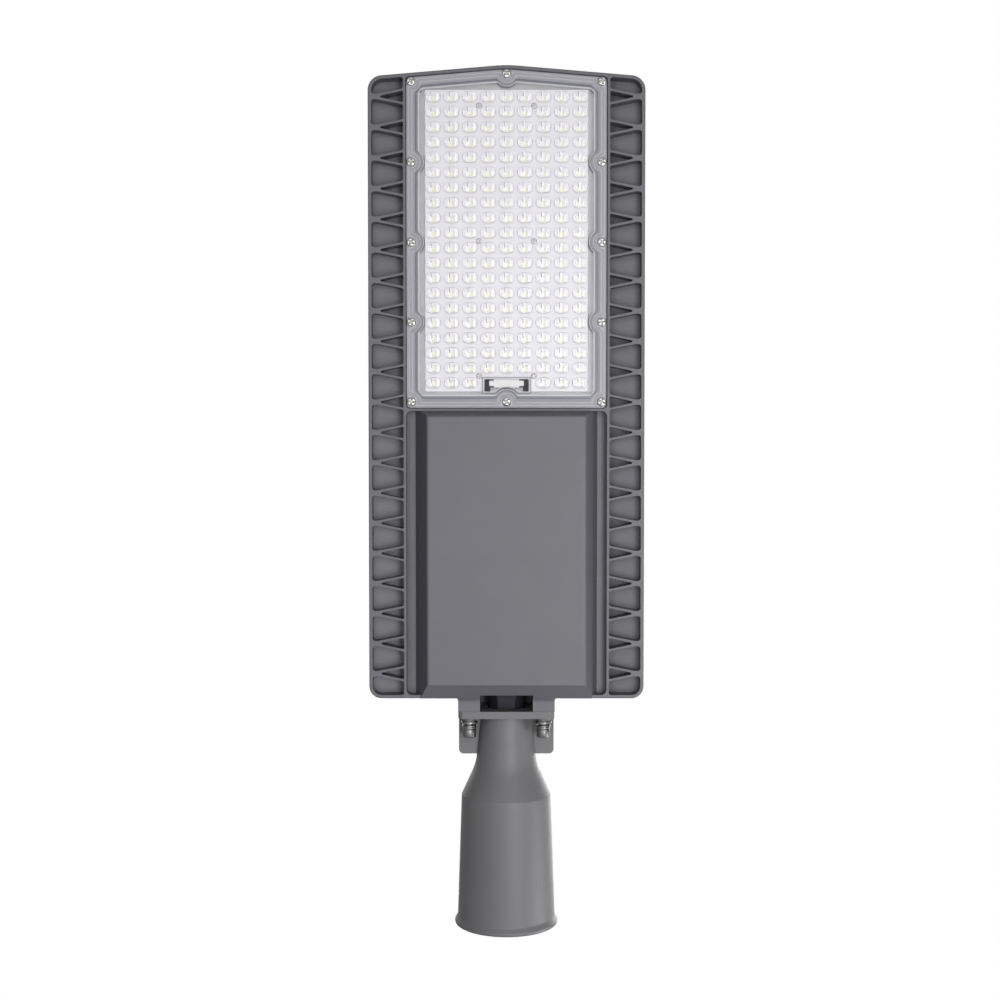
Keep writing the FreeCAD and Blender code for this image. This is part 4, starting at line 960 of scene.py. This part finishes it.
def make_connector():
    """White poke-in connector: a body with two release tabs, and black pieces at its ends as painted
    shade.
    """
    low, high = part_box("board_connector")
    middle = (low.y + high.y) / 2
    rooted = low.z + 0.4 * MM
    tab_x, tab_half, tab_tail, tab_front = 6.2 * MM, 1.6 * MM, middle - 1.0 * MM, middle + 1.6 * MM
    body = [bevelled_box(low, high, 0.35 * MM)]
    for x in (-tab_x, tab_x):
        body.append(bevelled_box((x - tab_half, tab_tail, low.z - 0.05 * MM),
                                 (x + tab_half, tab_front, rooted), 0.2 * MM))
    # Black pieces at both ends of both sides, standing in for the shade in the gaps there
    shadow_length, tail_shadow, front_shadow = 3.4 * MM, 1.5 * MM, 1.0 * MM
    shadow_pieces = []
    for side in (-1, 1):
        x0, x1 = sorted((side * high.x, side * (high.x - shadow_length)))
        for y0, y1 in ((low.y, low.y + tail_shadow), (high.y - front_shadow, high.y)):
            shadow_pieces.append(bevelled_box((x0, y0, low.z - 0.06 * MM), (x1, y1, rooted), 0.12 * MM))
    make_piece("connector_body", body, [white_plastic], "board_connector", 30.0)
    make_piece("connector_shadow_pieces", shadow_pieces, [black_nylon], "board_connector", 30.0)


def make_diodes():
    """White frames with a sloping cup, and a domed square of phosphor gel in each.

    The gel stands up by its rise times (1 - u^2) (1 - v^2), u and v being the shares of its sides.
    """
    half = LED_SIZE / 2
    gel_half = half * 0.81
    gel_rise = 0.1 * MM
    corner = np.array([(-1, -1), (1, -1), (1, 1), (-1, 1)], float)
    top = board_low.z - 0.45 * MM
    levels = [(1.0, board_low.z), (1.0, board_low.z - 0.06 * MM), (0.86, top), (0.82, top),
              (0.8, top + 0.12 * MM)]
    shell = np.stack([np.column_stack([corner * half * k, np.full(4, z)]) for k, z in levels])
    shell_faces = grid_faces(len(levels), 4, close_columns=True)
    share = np.linspace(-1, 1, 5)
    u, v = np.meshgrid(share, share, indexing="ij")
    rise = gel_rise * (1 - u ** 2) * (1 - v ** 2)
    gel = np.stack([u * gel_half, v * gel_half, top + 0.11 * MM - rise], -1)
    gel_faces = grid_faces(5, 5)[:, ::-1]
    frames, gels = [], []
    for x, y in led_places():
        place = np.array([x + LED_SHIFT, y, 0.0])
        frames.append((shell.reshape(-1, 3) + place, shell_faces))
        gels.append((gel.reshape(-1, 3) + place, gel_faces))
    make_piece("diode_frames", frames, [white_plastic], "led_packages", 25.0)
    make_piece("diode_phosphor", gels, [phosphor_gel], "led_packages", 60.0)


make_connector()
make_diodes()


# Inner pieces keep their solids and take a finish
INNER = {
    "led_lead": black_rubber, "led_driver": driver_grey, "driver_screws": steel,
    "terminal_block": black_nylon, "input_lead": black_rubber, "surge_protector": white_plastic,
    "earth_screw": steel, "driver_cover_gasket": black_rubber, "gland_seal": black_rubber,
}
for node, material in INNER.items():
    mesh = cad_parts[node].data
    mesh.materials.clear()
    mesh.materials.append(material)


# Light, floor and camera


def white_glow(tree, strength):
    """White emission of a strength."""
    node = tree.nodes.new("ShaderNodeEmission")
    node.inputs["Color"].default_value = (1.0, 1.0, 1.0, 1.0)
    node.inputs["Strength"].default_value = strength
    return node.outputs[0]


def make_world(ambient, mirrored):
    """White where it is seen, dimmer in reflections, and a low even light everywhere else."""
    world = bpy.data.worlds.new("studio")
    world.use_nodes = True
    tree = world.node_tree
    tree.nodes.clear()
    result = None
    for strength, kinds in ((ambient, ()), (mirrored, ["Is Glossy Ray"]),
                            (1.0, ["Is Camera Ray", "Is Transmission Ray"])):
        background = tree.nodes.new("ShaderNodeBackground")
        background.inputs["Color"].default_value = (1.0, 1.0, 1.0, 1.0)
        background.inputs["Strength"].default_value = strength
        shade = background.outputs[0]
        result = shade if result is None else mixed(tree, rays_of(tree, kinds), result, shade)
    tree.links.new(result, tree.nodes.new("ShaderNodeOutputWorld").inputs["Surface"])
    bpy.context.scene.world = world


def lifted(tree, shader, strength):
    """A shader with a white glow of some strength added to it."""
    add = tree.nodes.new("ShaderNodeAddShader")
    tree.links.new(shader.outputs[0], add.inputs[0])
    tree.links.new(white_glow(tree, strength), add.inputs[1])
    return add.outputs[0]


def make_floor(level, half):
    """A large pale floor that takes the shadow and fades into the white world further out.

    The camera sees it lifted towards white, with a share of white that is a smooth step of the
    distance from the middle, from 2 m to 8 m. Mirrored or through the clear plate it is less bright,
    and all other rays meet a dim grey, so that it throws little light back at the head.
    """
    mesh = bpy.data.meshes.new("floor")
    corners = [(-half, -half, level), (half, -half, level), (half, half, level), (-half, half, level)]
    mesh.from_pydata(corners, [], [(0, 1, 2, 3)])
    floor = bpy.data.objects.new("floor", mesh)
    bpy.context.scene.collection.objects.link(floor)
    material, tree, shader = start_material("pale_floor", (0.72, 0.72, 0.72), 0.8)
    coordinates = tree.nodes.new("ShaderNodeTexCoord")
    flat = tree.nodes.new("ShaderNodeMapping")
    flat.inputs["Scale"].default_value = (1.0, 1.0, 0.0)
    distance = tree.nodes.new("ShaderNodeVectorMath")
    distance.operation = "LENGTH"
    fade = tree.nodes.new("ShaderNodeMapRange")
    fade.interpolation_type = "SMOOTHSTEP"
    fade.inputs["From Min"].default_value = 2.0
    fade.inputs["From Max"].default_value = 8.0
    tree.links.new(coordinates.outputs["Object"], flat.inputs["Vector"])
    tree.links.new(flat.outputs["Vector"], distance.inputs[0])
    tree.links.new(distance.outputs["Value"], fade.inputs["Value"])
    dim = tree.nodes.new("ShaderNodeBsdfDiffuse")
    dim.inputs["Color"].default_value = (0.3, 0.3, 0.3, 1.0)
    seen = mixed(tree, fade.outputs["Result"], lifted(tree, shader, 0.68), white_glow(tree, 1.0))
    reflections = rays_of(tree, ["Is Glossy Ray", "Is Transmission Ray"])
    result = mixed(tree, reflections, dim.outputs[0], lifted(tree, shader, 0.45))
    result = mixed(tree, rays_of(tree, ["Is Camera Ray"]), result, seen)
    tree.links.new(result, tree.nodes["Material Output"].inputs["Surface"])
    mesh.materials.append(material)


def make_lamp(name, place, target, size, power):
    """A white softbox turned to its target, its size across and along Y, hidden from the camera."""
    light = bpy.data.lights.new(name, "AREA")
    light.shape = "RECTANGLE"
    light.size, light.size_y = size
    light.energy = power
    lamp = bpy.data.objects.new(name, light)
    back = (Vector(place) - Vector(target)).normalized()
    across = Vector((0.0, 1.0, 0.0)).cross(back).normalized()
    axes = Matrix((across, back.cross(across), back)).transposed().to_4x4()
    lamp.matrix_world = Matrix.Translation(place) @ axes
    lamp.visible_camera = False
    bpy.context.scene.collection.objects.link(lamp)


def make_camera():
    """Looks straight up at the lit side, leaning a little, as the photograph does."""
    data = bpy.data.cameras.new("camera")
    data.sensor_width = 36.0
    data.lens = 54.0
    data.clip_start = 0.05
    data.clip_end = 50.0
    camera = bpy.data.objects.new("camera", data)
    place = (0.00472, 0.3582, -1.1220)
    lean = math.radians(2.02)
    axes = Matrix(((-1.0, 0.0, 0.0),
                   (0.0, math.cos(lean), math.sin(lean)),
                   (0.0, math.sin(lean), -math.cos(lean)))).to_4x4()
    camera.matrix_world = Matrix.Translation(place) @ axes
    bpy.context.scene.collection.objects.link(camera)
    bpy.context.scene.camera = camera


make_world(ambient=0.15, mirrored=0.45)
make_floor(level=-2.4, half=14.0)

# Each lamp's place, target, size and watts; left and right are the photograph's
HEAD = (0.0, 0.32, -0.03)
PANEL = (0.0, 0.42, -0.03)
make_lamp("strip_right", (-0.45, 0.42, -1.50), PANEL, (0.45, 1.3), 10.6)
make_lamp("strip_left", (0.45, 0.42, -1.50), PANEL, (0.45, 1.3), 6.0)
make_lamp("face_sheen", (-0.36, 0.08, -0.9), (0.0, 0.20, -0.03), (0.35, 0.5), 2.7)
make_lamp("side_key", (-0.8, -0.35, -0.08), (0.0, 0.08, 0.0), (0.4, 0.4), 4.6)
make_lamp("softbox_above", (-0.65, 0.3, 1.5), HEAD, (1.4, 1.4), 28.0)
make_lamp("softbox_beyond", (0.65, 0.6, 1.5), HEAD, (0.7, 0.7), 14.0)
make_lamp("softbox_end", (0.2, -0.85, 1.6), (0.0, 0.1, 0.0), (0.6, 0.6), 24.0)
make_camera()
bpy.context.scene.view_settings.view_transform = "Standard"
